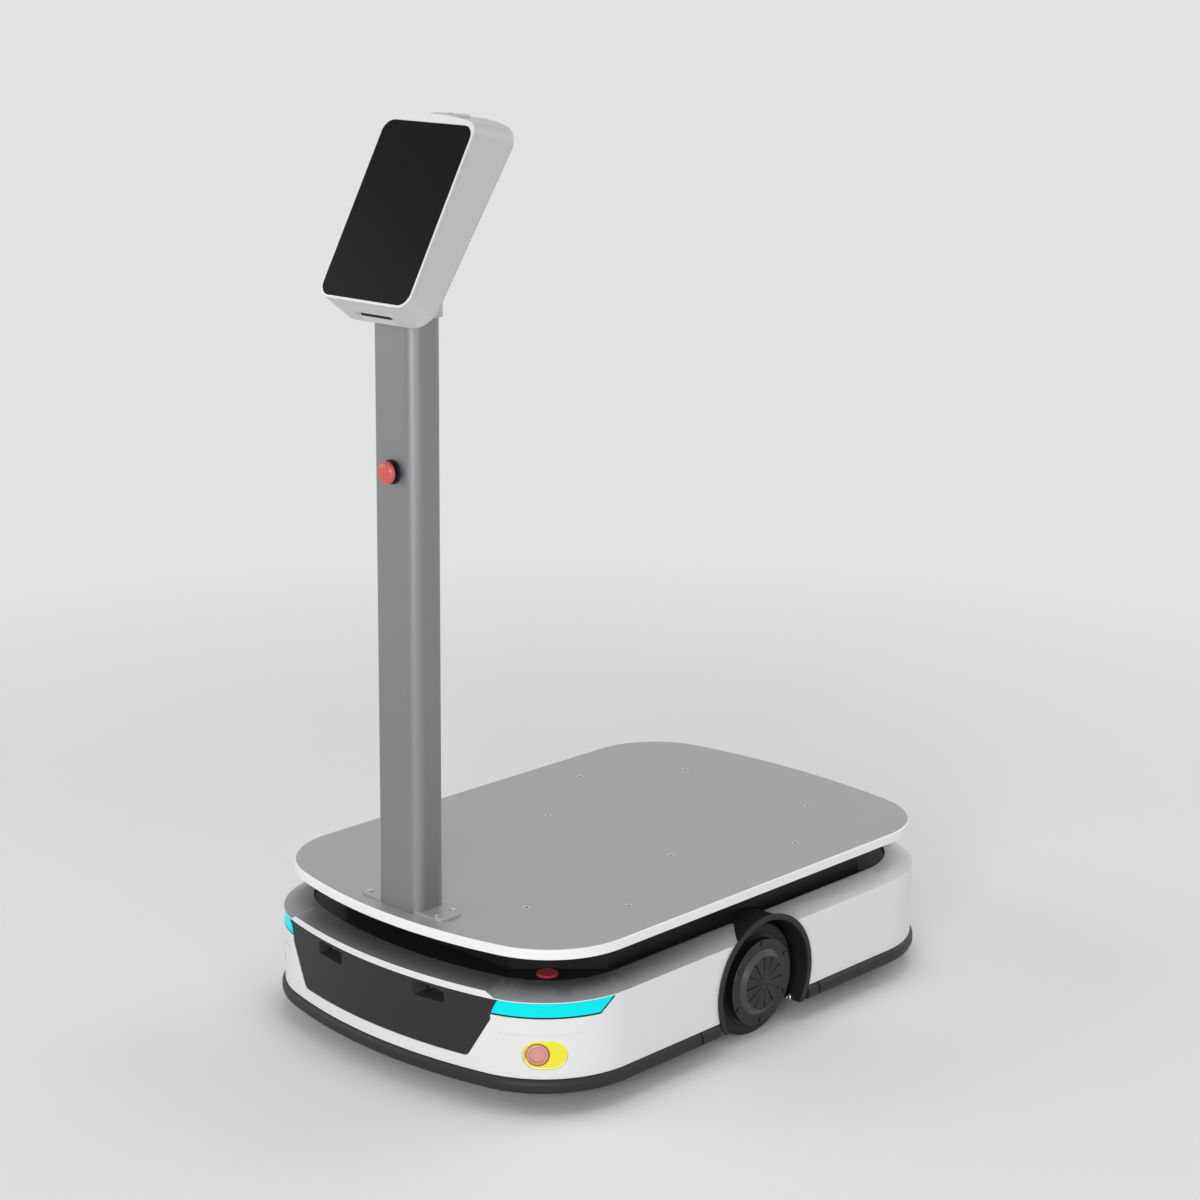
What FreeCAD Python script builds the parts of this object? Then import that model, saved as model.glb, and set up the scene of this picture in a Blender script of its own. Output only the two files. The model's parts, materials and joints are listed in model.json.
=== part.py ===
"""Autonomous mobile robot: a low wheeled base with a load plate, and a column that carries a screen.

Millimetres. The robot stands on the floor at z = 0 and drives towards -Y; X is its width.
"""
import FreeCAD, Part

import math
import os

import Sketcher
from FreeCAD import Placement, Rotation, Vector

os.makedirs("parts", exist_ok=True)
doc = FreeCAD.newDocument("mobile_robot")
sheet = doc.addObject("Spreadsheet::Sheet", "Sizes")

# Driving sizes, by sub-assembly.
SIZES = {
    # Body wall in plan: half sizes, bulged ends and corner rounding.
    "wall_half_wide": 282, "wall_half_long": 421.5, "wall_end_radius": 700, "wall_corner": 140,
    "wall_low": 46, "wall_high": 145, "shell_skin": 3,
    # Sloping shoulder of the body, up to the edge of the deck.
    "deck_half_wide": 255, "deck_half_long": 390, "deck_end_radius": 620, "deck_corner": 122,
    "shoulder_high": 158, "shoulder_lip": 5,
    "brow_high": 152.5, "brow_low": 143.5, "brow_half_top": 165, "brow_half_low": 190,
    # Deck tray and the black frame under the load plate.
    "tray_top": 154, "tray_thick": 4, "frame_half_wide": 237, "frame_half_long": 335,
    "frame_bevel": 87, "frame_wall": 4,
    # Load plate.
    "plate_top": 207, "plate_thick": 13, "plate_half_wide": 270, "plate_half_long": 404,
    "plate_end_radius": 681, "plate_rear_radius": 980, "plate_corner": 122, "plate_rear_corner": 114,
    "plate_edge": 1.5,
    # Countersunk screws of the load plate.
    "screw_head": 5.5, "screw_shank": 3, "screw_length": 12, "screw_socket": 2,
    # Small pan-head screws of the column foot and the deck ledge.
    "pan_head": 3.6, "pan_shank": 1.8, "pan_tall": 1.8, "pan_socket": 1.2, "pan_length": 3,
    "ledge_out": 243, "ledge_front": -371, "ledge_front_out": 62,
    # Column, its foot and its top.
    "column_wide": 76, "column_deep": 51, "column_corner": 16, "column_wall": 3,
    "column_middle": -357, "column_top": 965,
    "foot_half_long": 78, "foot_half_deep": 23, "foot_corner": 20, "foot_thick": 3,
    "foot_screw_out": 61.5, "foot_screw_apart": 28, "foot_middle": -357.5,
    # Head: screen, the housing that widens behind it, and its neck round the column.
    "head_lean": 29, "head_forward": 71, "head_rise": 8,
    "glass_half_wide": 75.5, "glass_tall": 227, "glass_corner": 16, "glass_thick": 3,
    "head_rim": 3.5, "head_crown": 8, "head_corner": 18.5, "bezel_deep": 5,
    "head_deep": 50, "head_taper": 4.8, "head_back_low": 14, "head_back_high": 27,
    "head_back_crown": 16, "head_back_corner": 34, "head_back_round": 7, "head_room": 33,
    "display_deep": 16, "neck_skin": 5, "neck_drop": 17, "neck_sunk": 12, "wire_way": 8,
    # Finger slot under the screen, and the round eye on top of the head.
    "slot_half_wide": 32, "slot_tall": 16, "slot_behind": 41, "slot_tilt": 16, "slot_corner": 5,
    "slot_window_wide": 27, "slot_window_tall": 5, "slot_window_thick": 1,
    "eye_radius": 24, "eye_tall": 2.5, "eye_bevel": 1.5, "eye_sunk": 2, "eye_lens": 3,
    "eye_lens_proud": 0.6, "eye_back": 26.5, "eye_lean": 4,
    # Dark front panel between the lights.
    "panel_low": 62.5, "panel_half_low": 150, "panel_half_high": 182, "panel_knee": 117,
    "panel_corner": 10, "panel_thick": 3, "panel_sunk": 1,
    # Recessed camera scoops in the panel.
    "scoop_out": 92, "scoop_wide": 64, "scoop_tall": 24, "scoop_deep": 15, "scoop_height": 131,
    "window_wide": 36, "window_tall": 11, "window_thick": 2,
    # Soft crease round each front corner, under the light.
    "crease_height": 102, "crease_tall": 2.4, "crease_deep": 0.9, "crease_out": 194, "crease_back": -324,
    # Corner lights.
    "light_low": 124, "light_half_top": 190, "light_half_low": 182, "light_back_top": -280,
    "light_back_low": -302, "light_thick": 5,
    # Yellow corner pads with their round buttons.
    "pad_height": 77, "pad_half_long": 27.5, "pad_half_tall": 18.5, "pad_sunk": 1.2,
    "pad_thick": 8, "pad_bearing": -45, "knob_radius": 13, "knob_well": 26, "knob_travel": 3,
    # Power button on the deck tray.
    "power_out": 195, "power_front": -312, "power_radius": 13.5, "power_proud": 3,
    "power_cup": 14, "power_travel": 2.5,
    # Emergency stop on the column.
    "stop_height": 762, "stop_collar": 15, "stop_collar_tall": 3, "stop_stem": 8, "stop_cap": 14,
    "stop_cap_tall": 9, "stop_travel": 3, "stop_sleeve_deep": 12,
    # Drive wheels, hub motors, arches and suspension arms.
    "wheel_radius": 76, "tyre_out": 265, "tyre_wide": 44, "rim_radius": 62, "hub_out": 266,
    "cover_radius": 57, "cover_out": 277, "cover_flange": 44, "cover_dish": 7, "cover_boss": 10,
    "cover_slots": 12, "cover_screw_ring": 52, "cover_screw_head": 3, "axle_radius": 12,
    "arch_radius": 88, "arch_skin": 3, "arch_lip": 5, "arch_inner": 203, "arch_low": 28,
    "arm_out": 198, "arm_thick": 9, "arm_length": 110, "arm_half_tall": 19, "pivot_radius": 8,
    # Casters.
    "caster_side_in": 102, "caster_end_in": 129.5, "caster_radius": 28,
    "caster_wide": 20, "caster_trail": 22, "caster_axle": 5, "fork_crown": 24, "fork_crown_tall": 7,
    "fork_leg": 4, "well_radius": 56, "well_skin": 3, "well_top": 73, "stem_radius": 10,
    # Base pan and what stands in it.
    "pan_low": 30, "pan_skin": 4, "pan_step": 15,
    "post_wide": 30, "post_out": 140, "post_along": 215,
    "battery_wide": 190, "battery_long": 260, "battery_tall": 85,
    "brain_wide": 210, "brain_long": 130, "brain_tall": 60, "brain_back": 215,
    "contact_wide": 44, "contact_tall": 10, "contact_apart": 24, "contact_height": 96,
    "contact_thick": 2, "contact_proud": 0.4,
    # Floating bumpers.
    "bumper_low": 26, "bumper_proud": 4.5, "bumper_deep": 14, "bumper_round": 8,
    "bumper_front_end": -126, "bumper_rear_end": 111, "bumper_travel": 3,
    # Clearances.
    "seat_gap": 0.2, "slip_gap": 0.3, "run_gap": 0.05,
}
for row, (alias, number) in enumerate(SIZES.items(), start=1):
    sheet.set(f"A{row}", alias)
    sheet.set(f"B{row}", str(number))
    sheet.setAlias(f"B{row}", alias)
doc.recompute()


class Size:
    """A length that is both a number and the sheet expression it comes from."""

    def __init__(self, number, text):
        self.number = number
        self.text = text

    def __add__(self, other):
        other = as_size(other)
        return Size(self.number + other.number, f"({self.text} + {other.text})")

    def __sub__(self, other):
        other = as_size(other)
        return Size(self.number - other.number, f"({self.text} - {other.text})")

    def __mul__(self, other):
        other = as_size(other)
        return Size(self.number * other.number, f"({self.text} * {other.text})")

    def __truediv__(self, other):
        other = as_size(other)
        return Size(self.number / other.number, f"({self.text} / {other.text})")

    def __neg__(self):
        return Size(-self.number, f"(0 - {self.text})")

    def __radd__(self, other):
        return as_size(other) + self

    def __rsub__(self, other):
        return as_size(other) - self

    def __rmul__(self, other):
        return as_size(other) * self


def as_size(value):
    """A Size for a Size or a plain number."""
    return value if isinstance(value, Size) else Size(float(value), f"({float(value)!r})")


class Sheet:
    """The spreadsheet's cells as Size attributes."""

    def __getattr__(self, alias):
        return Size(float(sheet.get(alias)), f"Sizes.{alias}")


S = Sheet()


def root(value):
    """Square root of a Size."""
    return Size(math.sqrt(value.number), f"sqrt({value.text})")


def bind(thing, path, value):
    """Bind one property of an object to the sheet."""
    thing.setExpression(path, as_size(value).text)


# ---------------------------------------------------------------- Part primitives and booleans

AXES = {
    "Z": Rotation(),
    "X": Rotation(Vector(0, 1, 0), 90),
    "-Y": Rotation(Vector(1, 0, 0), 90),
}


def place(thing, at, rotation=None):
    """Put an object at three sheet lengths, turned by a fixed rotation."""
    if rotation is not None:
        thing.Placement = Placement(Vector(), rotation)
    for letter, value in zip("xyz", at):
        bind(thing, f"Placement.Base.{letter}", value)
    return thing


def box(name, low, high):
    """A box between two corners."""
    thing = doc.addObject("Part::Box", name)
    for path, start, end in zip(("Length", "Width", "Height"), low, high):
        bind(thing, path, as_size(end) - as_size(start))
    return place(thing, low)


def cylinder(name, radius, length, at, axis="Z"):
    """A cylinder from a point along an axis."""
    thing = doc.addObject("Part::Cylinder", name)
    bind(thing, "Radius", radius)
    bind(thing, "Height", length)
    return place(thing, at, AXES[axis])


def fuse(name, *things):
    """One solid from several that touch."""
    thing = doc.addObject("Part::MultiFuse", name)
    thing.Shapes = list(things)
    thing.Refine = True
    return thing


def group(name, *things):
    """Separate solids kept in one node."""
    thing = doc.addObject("Part::Compound", name)
    thing.Links = list(things)
    return thing


def cut(name, base, *tools):
    """A solid less one or more tools."""
    thing = doc.addObject("Part::Cut", name)
    thing.Base = base
    thing.Tool = tools[0] if len(tools) == 1 else fuse(name + "_tools", *tools)
    thing.Refine = True
    return thing


def common(name, first, second):
    """What two solids share."""
    thing = doc.addObject("Part::Common", name)
    thing.Base = first
    thing.Tool = second
    thing.Refine = True
    return thing


def mirrored(name, source):
    """The same piece on the robot's other side."""
    thing = doc.addObject("Part::Mirroring", name)
    thing.Source = source
    thing.Normal = Vector(1, 0, 0)
    thing.Base = Vector(0, 0, 0)
    return thing


def turned(name, sketch, axis, base=(0, 0, 0)):
    """A full revolution of a sketch about an axis through a point."""
    thing = doc.addObject("Part::Revolution", name)
    thing.Source = sketch
    thing.Axis = axis
    for letter, value in zip("xyz", base):
        bind(thing, f"Base.{letter}", value)
    thing.Angle = 360
    thing.Solid = True
    return thing


def extruded(name, sketch, length, both=False):
    """A sketch drawn out along its normal."""
    thing = doc.addObject("Part::Extrusion", name)
    thing.Base = sketch
    thing.DirMode = "Normal"
    thing.Solid = True
    thing.Symmetric = both
    bind(thing, "LengthFwd", length)
    return thing


def lofted(name, *sketches):
    """A ruled solid through sketches."""
    thing = doc.addObject("Part::Loft", name)
    thing.Sections = list(sketches)
    thing.Solid = True
    thing.Ruled = True
    return thing


def rounded_edges(name, base, radius, chosen):
    """A solid with a fillet on the edges that a test picks."""
    doc.recompute()
    thing = doc.addObject("Part::Fillet", name)
    thing.Base = base
    picks = [number for number, edge in enumerate(base.Shape.Edges, start=1) if chosen(edge)]
    thing.Edges = [(number, radius.number, radius.number) for number in picks]
    return thing


# ---------------------------------------------------------------- sketches

PLANES = {
    "XY": Rotation(),
    "XZ": Rotation(Vector(1, 0, 0), 90),
    "YZ": Rotation(Vector(1, 1, 1), 120),
}
ORIGIN = (-1, 1)


def sketch_on(name, plane, at=(0, 0, 0), rotation=None):
    """A free sketch on a plane through a point."""
    thing = doc.addObject("Sketcher::SketchObject", name)
    return place(thing, at, rotation or PLANES[plane])


def sketch_in(body, name, role, offset=0):
    """A sketch in a body, on one of its own origin planes, lifted by an offset."""
    thing = body.newObject("Sketcher::SketchObject", name)
    plane = next(item for item in body.Origin.OriginFeatures if item.Role == role)
    thing.AttachmentSupport = (plane, [""])
    thing.MapMode = "FlatFace"
    bind(thing, "AttachmentOffset.Base.z", offset)
    return thing


def dimension(sketch, kind, references, value):
    """One driving dimension bound to the sheet."""
    value = as_size(value)
    number = sketch.addConstraint(Sketcher.Constraint(kind, *references, value.number))
    sketch.setExpression(f"Constraints[{number}]", value.text)


def pin_point(sketch, geometry, point, x, y):
    """Fix a point of the sketch by its distances from the origin."""
    dimension(sketch, "DistanceX", (*ORIGIN, geometry, point), x)
    dimension(sketch, "DistanceY", (*ORIGIN, geometry, point), y)


def circle(sketch, x, y, radius):
    """A circle."""
    x, y, radius = as_size(x), as_size(y), as_size(radius)
    number = sketch.addGeometry(Part.Circle(Vector(x.number, y.number, 0), Vector(0, 0, 1), radius.number))
    pin_point(sketch, number, 3, x, y)
    dimension(sketch, "Radius", (number,), radius)
    return number


def polygon(sketch, corners):
    """A closed outline with sharp corners."""
    corners = [(as_size(x), as_size(y)) for x, y in corners]
    points = [Vector(x.number, y.number, 0) for x, y in corners]
    first = None
    for index, point in enumerate(points):
        line = Part.LineSegment(point, points[(index + 1) % len(points)])
        number = sketch.addGeometry(line)
        first = number if first is None else first
        pin_point(sketch, number, 1, *corners[index])
        if index:
            sketch.addConstraint(Sketcher.Constraint("Coincident", number - 1, 2, number, 1))
    sketch.addConstraint(Sketcher.Constraint("Coincident", number, 2, first, 1))


def round_polygon(sketch, corners, radii):
    """A closed outline, counter-clockwise, with each corner rounded by its own radius."""
    corners = [(as_size(x), as_size(y)) for x, y in corners]
    radii = [as_size(radius) for radius in radii]
    count = len(corners)
    points = [Vector(x.number, y.number, 0) for x, y in corners]
    starts, ends, centres = [], [], []
    for index in range(count):
        before = (points[index - 1] - points[index]).normalize()
        after = (points[(index + 1) % count] - points[index]).normalize()
        half = before.getAngle(after) / 2
        reach = radii[index].number / math.tan(half)
        middle = (before + after).normalize() * (radii[index].number / math.sin(half))
        starts.append(points[index] + before * reach)
        ends.append(points[index] + after * reach)
        centres.append(points[index] + middle)
    lines, arcs = [], []
    for index in range(count):
        following = (index + 1) % count
        lines.append(sketch.addGeometry(Part.LineSegment(ends[index], starts[following])))
    for index in range(count):
        middle = points[index] - centres[index]
        crown = centres[index] + middle.normalize() * radii[index].number
        arcs.append(sketch.addGeometry(Part.Arc(starts[index], crown, ends[index])))
    for index in range(count):
        line_in, line_out, arc = lines[index - 1], lines[index], arcs[index]
        for line, end in ((line_in, 2), (line_out, 1)):
            touch = starts[index] if end == 2 else ends[index]
            arc_start = sketch.getPoint(arc, 1)
            point = 1 if arc_start.distanceToPoint(touch) < 1e-6 else 2
            sketch.addConstraint(Sketcher.Constraint("Tangent", line, end, arc, point))
        dimension(sketch, "Radius", (arc,), radii[index])
        corner = sketch.addGeometry(Part.Point(points[index]), True)
        pin_point(sketch, corner, 1, *corners[index])
        sketch.addConstraint(Sketcher.Constraint("PointOnObject", corner, 1, line_in))
        sketch.addConstraint(Sketcher.Constraint("PointOnObject", corner, 1, line_out))


def round_box(sketch, low_x, low_y, high_x, high_y, radius):
    """A rectangle with round corners."""
    corners = [(low_x, low_y), (high_x, low_y), (high_x, high_y), (low_x, high_y)]
    round_polygon(sketch, corners, [radius] * 4)


def bulged(sketch, half_wide, half_long, end_radius, corner, grow=0, rear=None):
    """A plan outline: straight sides, arched ends and tangent corner arcs."""
    half_wide, half_long = half_wide + grow, half_long + grow
    ends = [(-1, end_radius + grow, corner + grow)]
    rear_radius, rear_corner = rear or (end_radius, corner)
    ends.append((1, rear_radius + grow, rear_corner + grow))
    wide, far = half_wide.number, half_long.number
    parts = {}
    knots = {}
    for way, big, small in ends:
        big_middle = way * (far - big.number)
        out = wide - small.number
        up = big_middle + way * math.sqrt((big.number - small.number) ** 2 - out ** 2)
        lean = Vector(out, up - big_middle, 0).normalize()
        touch = Vector(0, big_middle, 0) + lean * big.number
        knots[way] = (Vector(wide, up, 0), touch, Vector(out, up, 0), big_middle)
    mirror = Vector(-1, 1, 1)

    def flip(point):
        return Vector(point.x * mirror.x, point.y, 0)

    def corner_arc(way, side):
        side_point, touch, middle, _ = knots[way]
        small = ends[0][2] if way < 0 else ends[1][2]
        crown = (side_point + touch) / 2 - middle
        crown = middle + crown.normalize() * small.number
        points = [side_point, crown, touch]
        return Part.Arc(*(points if side > 0 else [flip(point) for point in points]))

    def add(name, curve):
        parts[name] = sketch.addGeometry(curve)

    add("right", Part.LineSegment(knots[-1][0], knots[1][0]))
    add("rear_right", corner_arc(1, 1))
    rear_crown = Vector(0, far, 0)
    add("rear", Part.Arc(knots[1][1], rear_crown, flip(knots[1][1])))
    add("rear_left", corner_arc(1, -1))
    add("left", Part.LineSegment(flip(knots[1][0]), flip(knots[-1][0])))
    add("front_left", corner_arc(-1, -1))
    add("front", Part.Arc(flip(knots[-1][1]), Vector(0, -far, 0), knots[-1][1]))
    add("front_right", corner_arc(-1, 1))
    order = list(parts.values())
    for index, number in enumerate(order):
        following = order[(index + 1) % len(order)]
        ends_here = [(a, b) for a in (1, 2) for b in (1, 2)]
        best = min(ends_here, key=lambda pair: sketch.getPoint(number, pair[0]).distanceToPoint(
            sketch.getPoint(following, pair[1])))
        sketch.addConstraint(Sketcher.Constraint("Tangent", number, best[0], following, best[1]))
    for name, sign in (("right", 1), ("left", -1)):
        sketch.addConstraint(Sketcher.Constraint("Vertical", parts[name]))
        dimension(sketch, "DistanceX", (*ORIGIN, parts[name], 1), half_wide * sign)
    for name, (way, big, small) in zip(("front", "rear"), ends):
        sketch.addConstraint(Sketcher.Constraint("PointOnObject", parts[name], 3, -2))
        dimension(sketch, "DistanceY", (*ORIGIN, parts[name], 3), (half_long - big) * way)
        dimension(sketch, "Radius", (parts[name],), big)
        for side in ("left", "right"):
            dimension(sketch, "Radius", (parts[f"{name}_{side}"],), small)


# ---------------------------------------------------------------- the pieces, by label

PIECES = []


def piece(label, thing):
    """Give a finished sub-part its own label."""
    thing.Label = label
    PIECES.append(thing)
    return thing


def body(label):
    """A PartDesign body that becomes a sub-part."""
    return piece(label, doc.addObject("PartDesign::Body", label))


def pad(owner, sketch, length, reverse=False, symmetric=False):
    """A pad of a sketch in a body."""
    thing = owner.newObject("PartDesign::Pad", sketch.Name + "_pad")
    thing.Profile = sketch
    thing.Reversed = reverse
    thing.Midplane = symmetric
    bind(thing, "Length", length)
    return thing


def pocket(owner, sketch, length, reverse=False, symmetric=False):
    """A pocket of a sketch in a body."""
    thing = owner.newObject("PartDesign::Pocket", sketch.Name + "_pocket")
    thing.Profile = sketch
    thing.Reversed = reverse
    thing.Midplane = symmetric
    bind(thing, "Length", length)
    return thing


WALL = (S.wall_half_wide, S.wall_half_long, S.wall_end_radius, S.wall_corner)
DECK = (S.deck_half_wide, S.deck_half_long, S.deck_end_radius, S.deck_corner)
WHEEL_REACH = S.wall_half_wide + S.bumper_proud + 20
BEYOND = S.wall_half_long + S.wall_half_long


def wall_prism(name, grow, low, high, outline=WALL):
    """A solid with the wall's plan, grown or shrunk."""
    sketch = sketch_on(name + "_plan", "XY", (0, 0, low))
    bulged(sketch, *outline, grow=grow)
    return extruded(name, sketch, as_size(high) - as_size(low))


def wall_band(name, grow_out, grow_in, low, high):
    """A ring that follows the wall between two offsets of its plan."""
    outer = wall_prism(name + "_outer", grow_out, low, high)
    inner = wall_prism(name + "_inner", grow_in, as_size(low) - 1, as_size(high) + 1)
    return cut(name, outer, inner)


def front_prism(name, corners, radii=None, start=-BEYOND, length=BEYOND):
    """A prism along Y whose outline is drawn as seen from the front."""
    sketch = sketch_on(name + "_face", "XZ", (0, as_size(start) + length, 0))
    if radii:
        round_polygon(sketch, corners, radii)
    else:
        polygon(sketch, corners)
    return extruded(name, sketch, length)


def side_prism(name, corners, start, length):
    """A prism along X whose outline is drawn as seen from the right."""
    sketch = sketch_on(name + "_face", "YZ", (start, 0, 0))
    polygon(sketch, corners)
    return extruded(name, sketch, length)


def wheel_round(name, radius, start, length, side=1):
    """A cylinder on the drive axle, out from a distance to the side."""
    x = start if side > 0 else -(as_size(start) + length)
    return cylinder(name, radius, length, (x, 0, S.wheel_radius), "X")


def arch_cutters(name, radius, low):
    """Both wheel openings: a round arch with straight legs down to a height."""
    tools = []
    for side, word in ((1, "right"), (-1, "left")):
        start = S.arch_inner - S.seat_gap
        length = WHEEL_REACH - start
        tools.append(wheel_round(f"{name}_{word}", radius, start, length, side))
        near, far = (start, start + length) if side > 0 else (-(start + length), -start)
        tools.append(box(f"{name}_{word}_legs", (near, -radius, low), (far, radius, S.wheel_radius)))
    return tools


LEDGE_SCREWS = [-245, -122, 129, 255]


# ---------------------------------------------------------------- body shells

def shoulder(name, drop, grow):
    """The sloping top of the body, from the wall's plan up to the deck's."""
    low = sketch_on(name + "_low", "XY", (0, 0, S.wall_high - drop))
    bulged(low, *WALL, grow=grow)
    high = sketch_on(name + "_high", "XY", (0, 0, S.shoulder_high - drop))
    bulged(high, *DECK, grow=grow)
    return lofted(name, low, high)


def brow():
    """The deeper fascia over the front panel, tapering out towards the lights."""
    low = sketch_on("brow_low_plan", "XY", (0, 0, S.brow_high))
    bulged(low, *WALL)
    high = sketch_on("brow_high_plan", "XY", (0, 0, S.shoulder_high))
    bulged(high, *DECK)
    top = lofted("brow_top", low, high)
    stem = wall_prism("brow_stem", as_size(0), S.brow_low, S.brow_high)
    whole = fuse("brow_whole", top, stem)
    taper = front_prism("brow_taper", [
        (-S.brow_half_low, S.brow_low), (S.brow_half_low, S.brow_low),
        (S.brow_half_top, S.shoulder_high + 1), (-S.brow_half_top, S.shoulder_high + 1)])
    return common("brow", whole, taper)


def panel_corners(gap):
    """The front panel's outline from the front, grown by a gap, with its corner radii."""
    knee = S.panel_half_high + gap
    corners = [
        (-(S.panel_half_low + gap), S.panel_low - gap), (S.panel_half_low + gap, S.panel_low - gap),
        (knee, S.panel_knee), (knee, S.light_low), (S.light_half_top + gap, S.brow_low + gap),
        (-(S.light_half_top + gap), S.brow_low + gap), (-knee, S.light_low), (-knee, S.panel_knee)]
    soft = S.panel_corner
    radii = [soft, soft, soft / 2, 1, 1, 1, 1, soft / 2]
    return corners, radii


def light_block(name, gap, side):
    """The space of one corner light, with its two slanted ends."""
    low, high = S.light_low - gap, S.brow_low + gap
    near_low, near_high = S.light_half_low - gap, S.light_half_top - gap
    far = WHEEL_REACH
    corners = [(near_low, low), (far, low), (far, high), (near_high, high)]
    if side < 0:
        corners = [(-x, z) for x, z in reversed(corners)]
    across = front_prism(name + "_across", corners)
    along = side_prism(name + "_along", [
        (-BEYOND, low), (S.light_back_low + gap, low),
        (S.light_back_top + gap, high), (-BEYOND, high)], -far, far + far)
    return common(name, across, along)


PAD_X = S.wall_half_wide - S.wall_corner


def corner_middle():
    """How far along Y the centre of a front corner arc lies."""
    reach = S.wall_end_radius - S.wall_corner
    return S.wall_end_radius - S.wall_half_long - root(reach * reach - PAD_X * PAD_X)


PAD_Y = corner_middle()
PAD_AXIS = Rotation(Vector(0, 0, 1), 45) * Rotation(Vector(1, 0, 0), 90)
DIAGONAL = math.sqrt(0.5)


def pad_prism(name, grow, low, high):
    """A pill-shaped prism through the right front corner, between two depths in from the wall."""
    sketch = doc.addObject("Sketcher::SketchObject", name + "_face")
    reach = (S.wall_corner - as_size(high)) * DIAGONAL
    place(sketch, (PAD_X + reach, PAD_Y - reach, S.pad_height), PAD_AXIS)
    far, tall = S.pad_half_long + grow, S.pad_half_tall + grow
    round_box(sketch, -far, -tall, far, tall, tall * 0.999)
    return extruded(name, sketch, as_size(high) - as_size(low))


def pad_round(name, radius, low, high):
    """A cylinder on the corner button's axis, between two depths in from the wall."""
    along = (S.pad_half_long - S.pad_half_tall) * DIAGONAL
    reach = (S.wall_corner - as_size(high)) * DIAGONAL
    thing = doc.addObject("Part::Cylinder", name)
    bind(thing, "Radius", radius)
    bind(thing, "Height", as_size(high) - as_size(low))
    return place(thing, (PAD_X + reach - along, PAD_Y - reach - along, S.pad_height), PAD_AXIS)


def make_shells():
    """The white body: a front and a rear shell that meet the wheel arches."""
    skin = S.shell_skin
    outer = fuse("shell_outer", wall_prism("shell_wall", as_size(0), S.wall_low, S.wall_high),
                 shoulder("shell_shoulder", as_size(0), as_size(0)), brow())
    hollow = fuse("shell_hollow",
                  wall_prism("shell_room", -skin, S.wall_low - 1, S.wall_high - skin),
                  shoulder("shell_room_top", skin, -skin))
    mouth = wall_prism("shell_mouth", -S.shoulder_lip, S.tray_top - S.tray_thick,
                       S.shoulder_high + 1, DECK)
    corners, radii = panel_corners(S.slip_gap)
    window = front_prism("shell_window", corners, radii)
    lights = [light_block("shell_light_right", S.slip_gap, 1),
              light_block("shell_light_left", S.slip_gap, -1)]
    pad_right = pad_prism("shell_pad_right", S.slip_gap, -5, S.knob_well)
    pads = [pad_right, mirrored("shell_pad_left", pad_right)]
    arches = arch_cutters("shell_arch", S.arch_radius, S.wall_low - 5)
    seats = [contact_block(f"shell_contact_{number}", z, S.seat_gap, 5)
             for number, z in enumerate(contact_heights())]
    skinned = cut("shell_ring", outer, hollow, mouth)
    opened = cut("shell_opened", skinned, *lights, *pads, *arches, *seats, *creases(), window)
    wide = WHEEL_REACH
    for label, low, high in (("front_shell", -BEYOND, 0), ("rear_shell", 0, BEYOND)):
        half = box(label + "_half", (-wide, low, 0), (wide, high, S.plate_top))
        piece(label, common(label, opened, half))


def creases():
    """The shallow grooves that fold each front corner of the wall over its button."""
    low, out = S.crease_height, S.crease_out
    ring = wall_band("crease_ring", as_size(1), -S.crease_deep, low, low + S.crease_tall)
    span = box("crease_span", (out, -BEYOND, low), (WHEEL_REACH, S.crease_back, low + S.crease_tall))
    right = common("crease_right", ring, span)
    return [right, mirrored("crease_left", right)]


def contact_heights():
    """Heights of the two charging contacts."""
    return [S.contact_height - S.contact_apart / 2, S.contact_height + S.contact_apart / 2]


def contact_block(name, height, grow, proud):
    """The space of one charging contact, let into the rear wall."""
    wide, tall = S.contact_wide / 2 + grow, S.contact_tall / 2 + grow
    low = S.wall_half_long - S.contact_thick - grow
    return box(name, (-wide, low, height - tall), (wide, S.wall_half_long + proud, height + tall))


def make_front_panel():
    """The dark panel between the corner lights, with two camera scoops behind its top edge."""
    corners, radii = panel_corners(as_size(0))
    face = front_prism("panel_face", corners, radii)
    sunk = S.panel_sunk
    skin = common("panel_skin", wall_band("panel_band", -sunk, -(sunk + S.panel_thick),
                                          S.panel_low - 2, S.brow_low + 2), face)
    blocks, scoops = [], []
    for side, word in ((-1, "left"), (1, "right")):
        middle = S.scoop_out * side
        half = S.scoop_wide / 2 + 3
        deep = S.wall_half_long - S.scoop_deep - 12
        low, high = S.scoop_height - S.scoop_tall / 2 - 3, S.brow_low
        block = box(f"panel_block_{word}", (middle - half, -(S.wall_half_long), low),
                    (middle + half, -deep, high))
        blocks.append(common(f"panel_boss_{word}", block, wall_prism(
            f"panel_trim_{word}", -(sunk + S.panel_thick / 2), low, high)))
        scoops.append(scoop(f"panel_scoop_{word}", middle))
    whole = fuse("panel_whole", skin, *blocks)
    piece("front_panel", cut("front_panel", whole, *scoops))
    for side, word in ((-1, "left"), (1, "right")):
        middle = S.scoop_out * side
        front = -(S.wall_half_long - scoop_sag() - S.scoop_deep)
        sketch = sketch_on(f"window_{word}_face", "XZ", (0, front + S.window_thick, 0))
        window_outline(sketch, middle, -S.seat_gap)
        piece(f"camera_window_{word}", extruded(f"camera_window_{word}", sketch, S.window_thick))


def scoop_sag():
    """How far the bulged wall falls back at the camera scoops."""
    radius = S.wall_end_radius
    return radius - root(radius * radius - S.scoop_out * S.scoop_out)


def window_outline(sketch, middle, grow):
    """The camera window's outline."""
    wide, tall = S.window_wide / 2 + grow, S.window_tall / 2 + grow
    round_box(sketch, middle - wide, S.scoop_height - tall, middle + wide, S.scoop_height + tall, 2)


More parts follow.
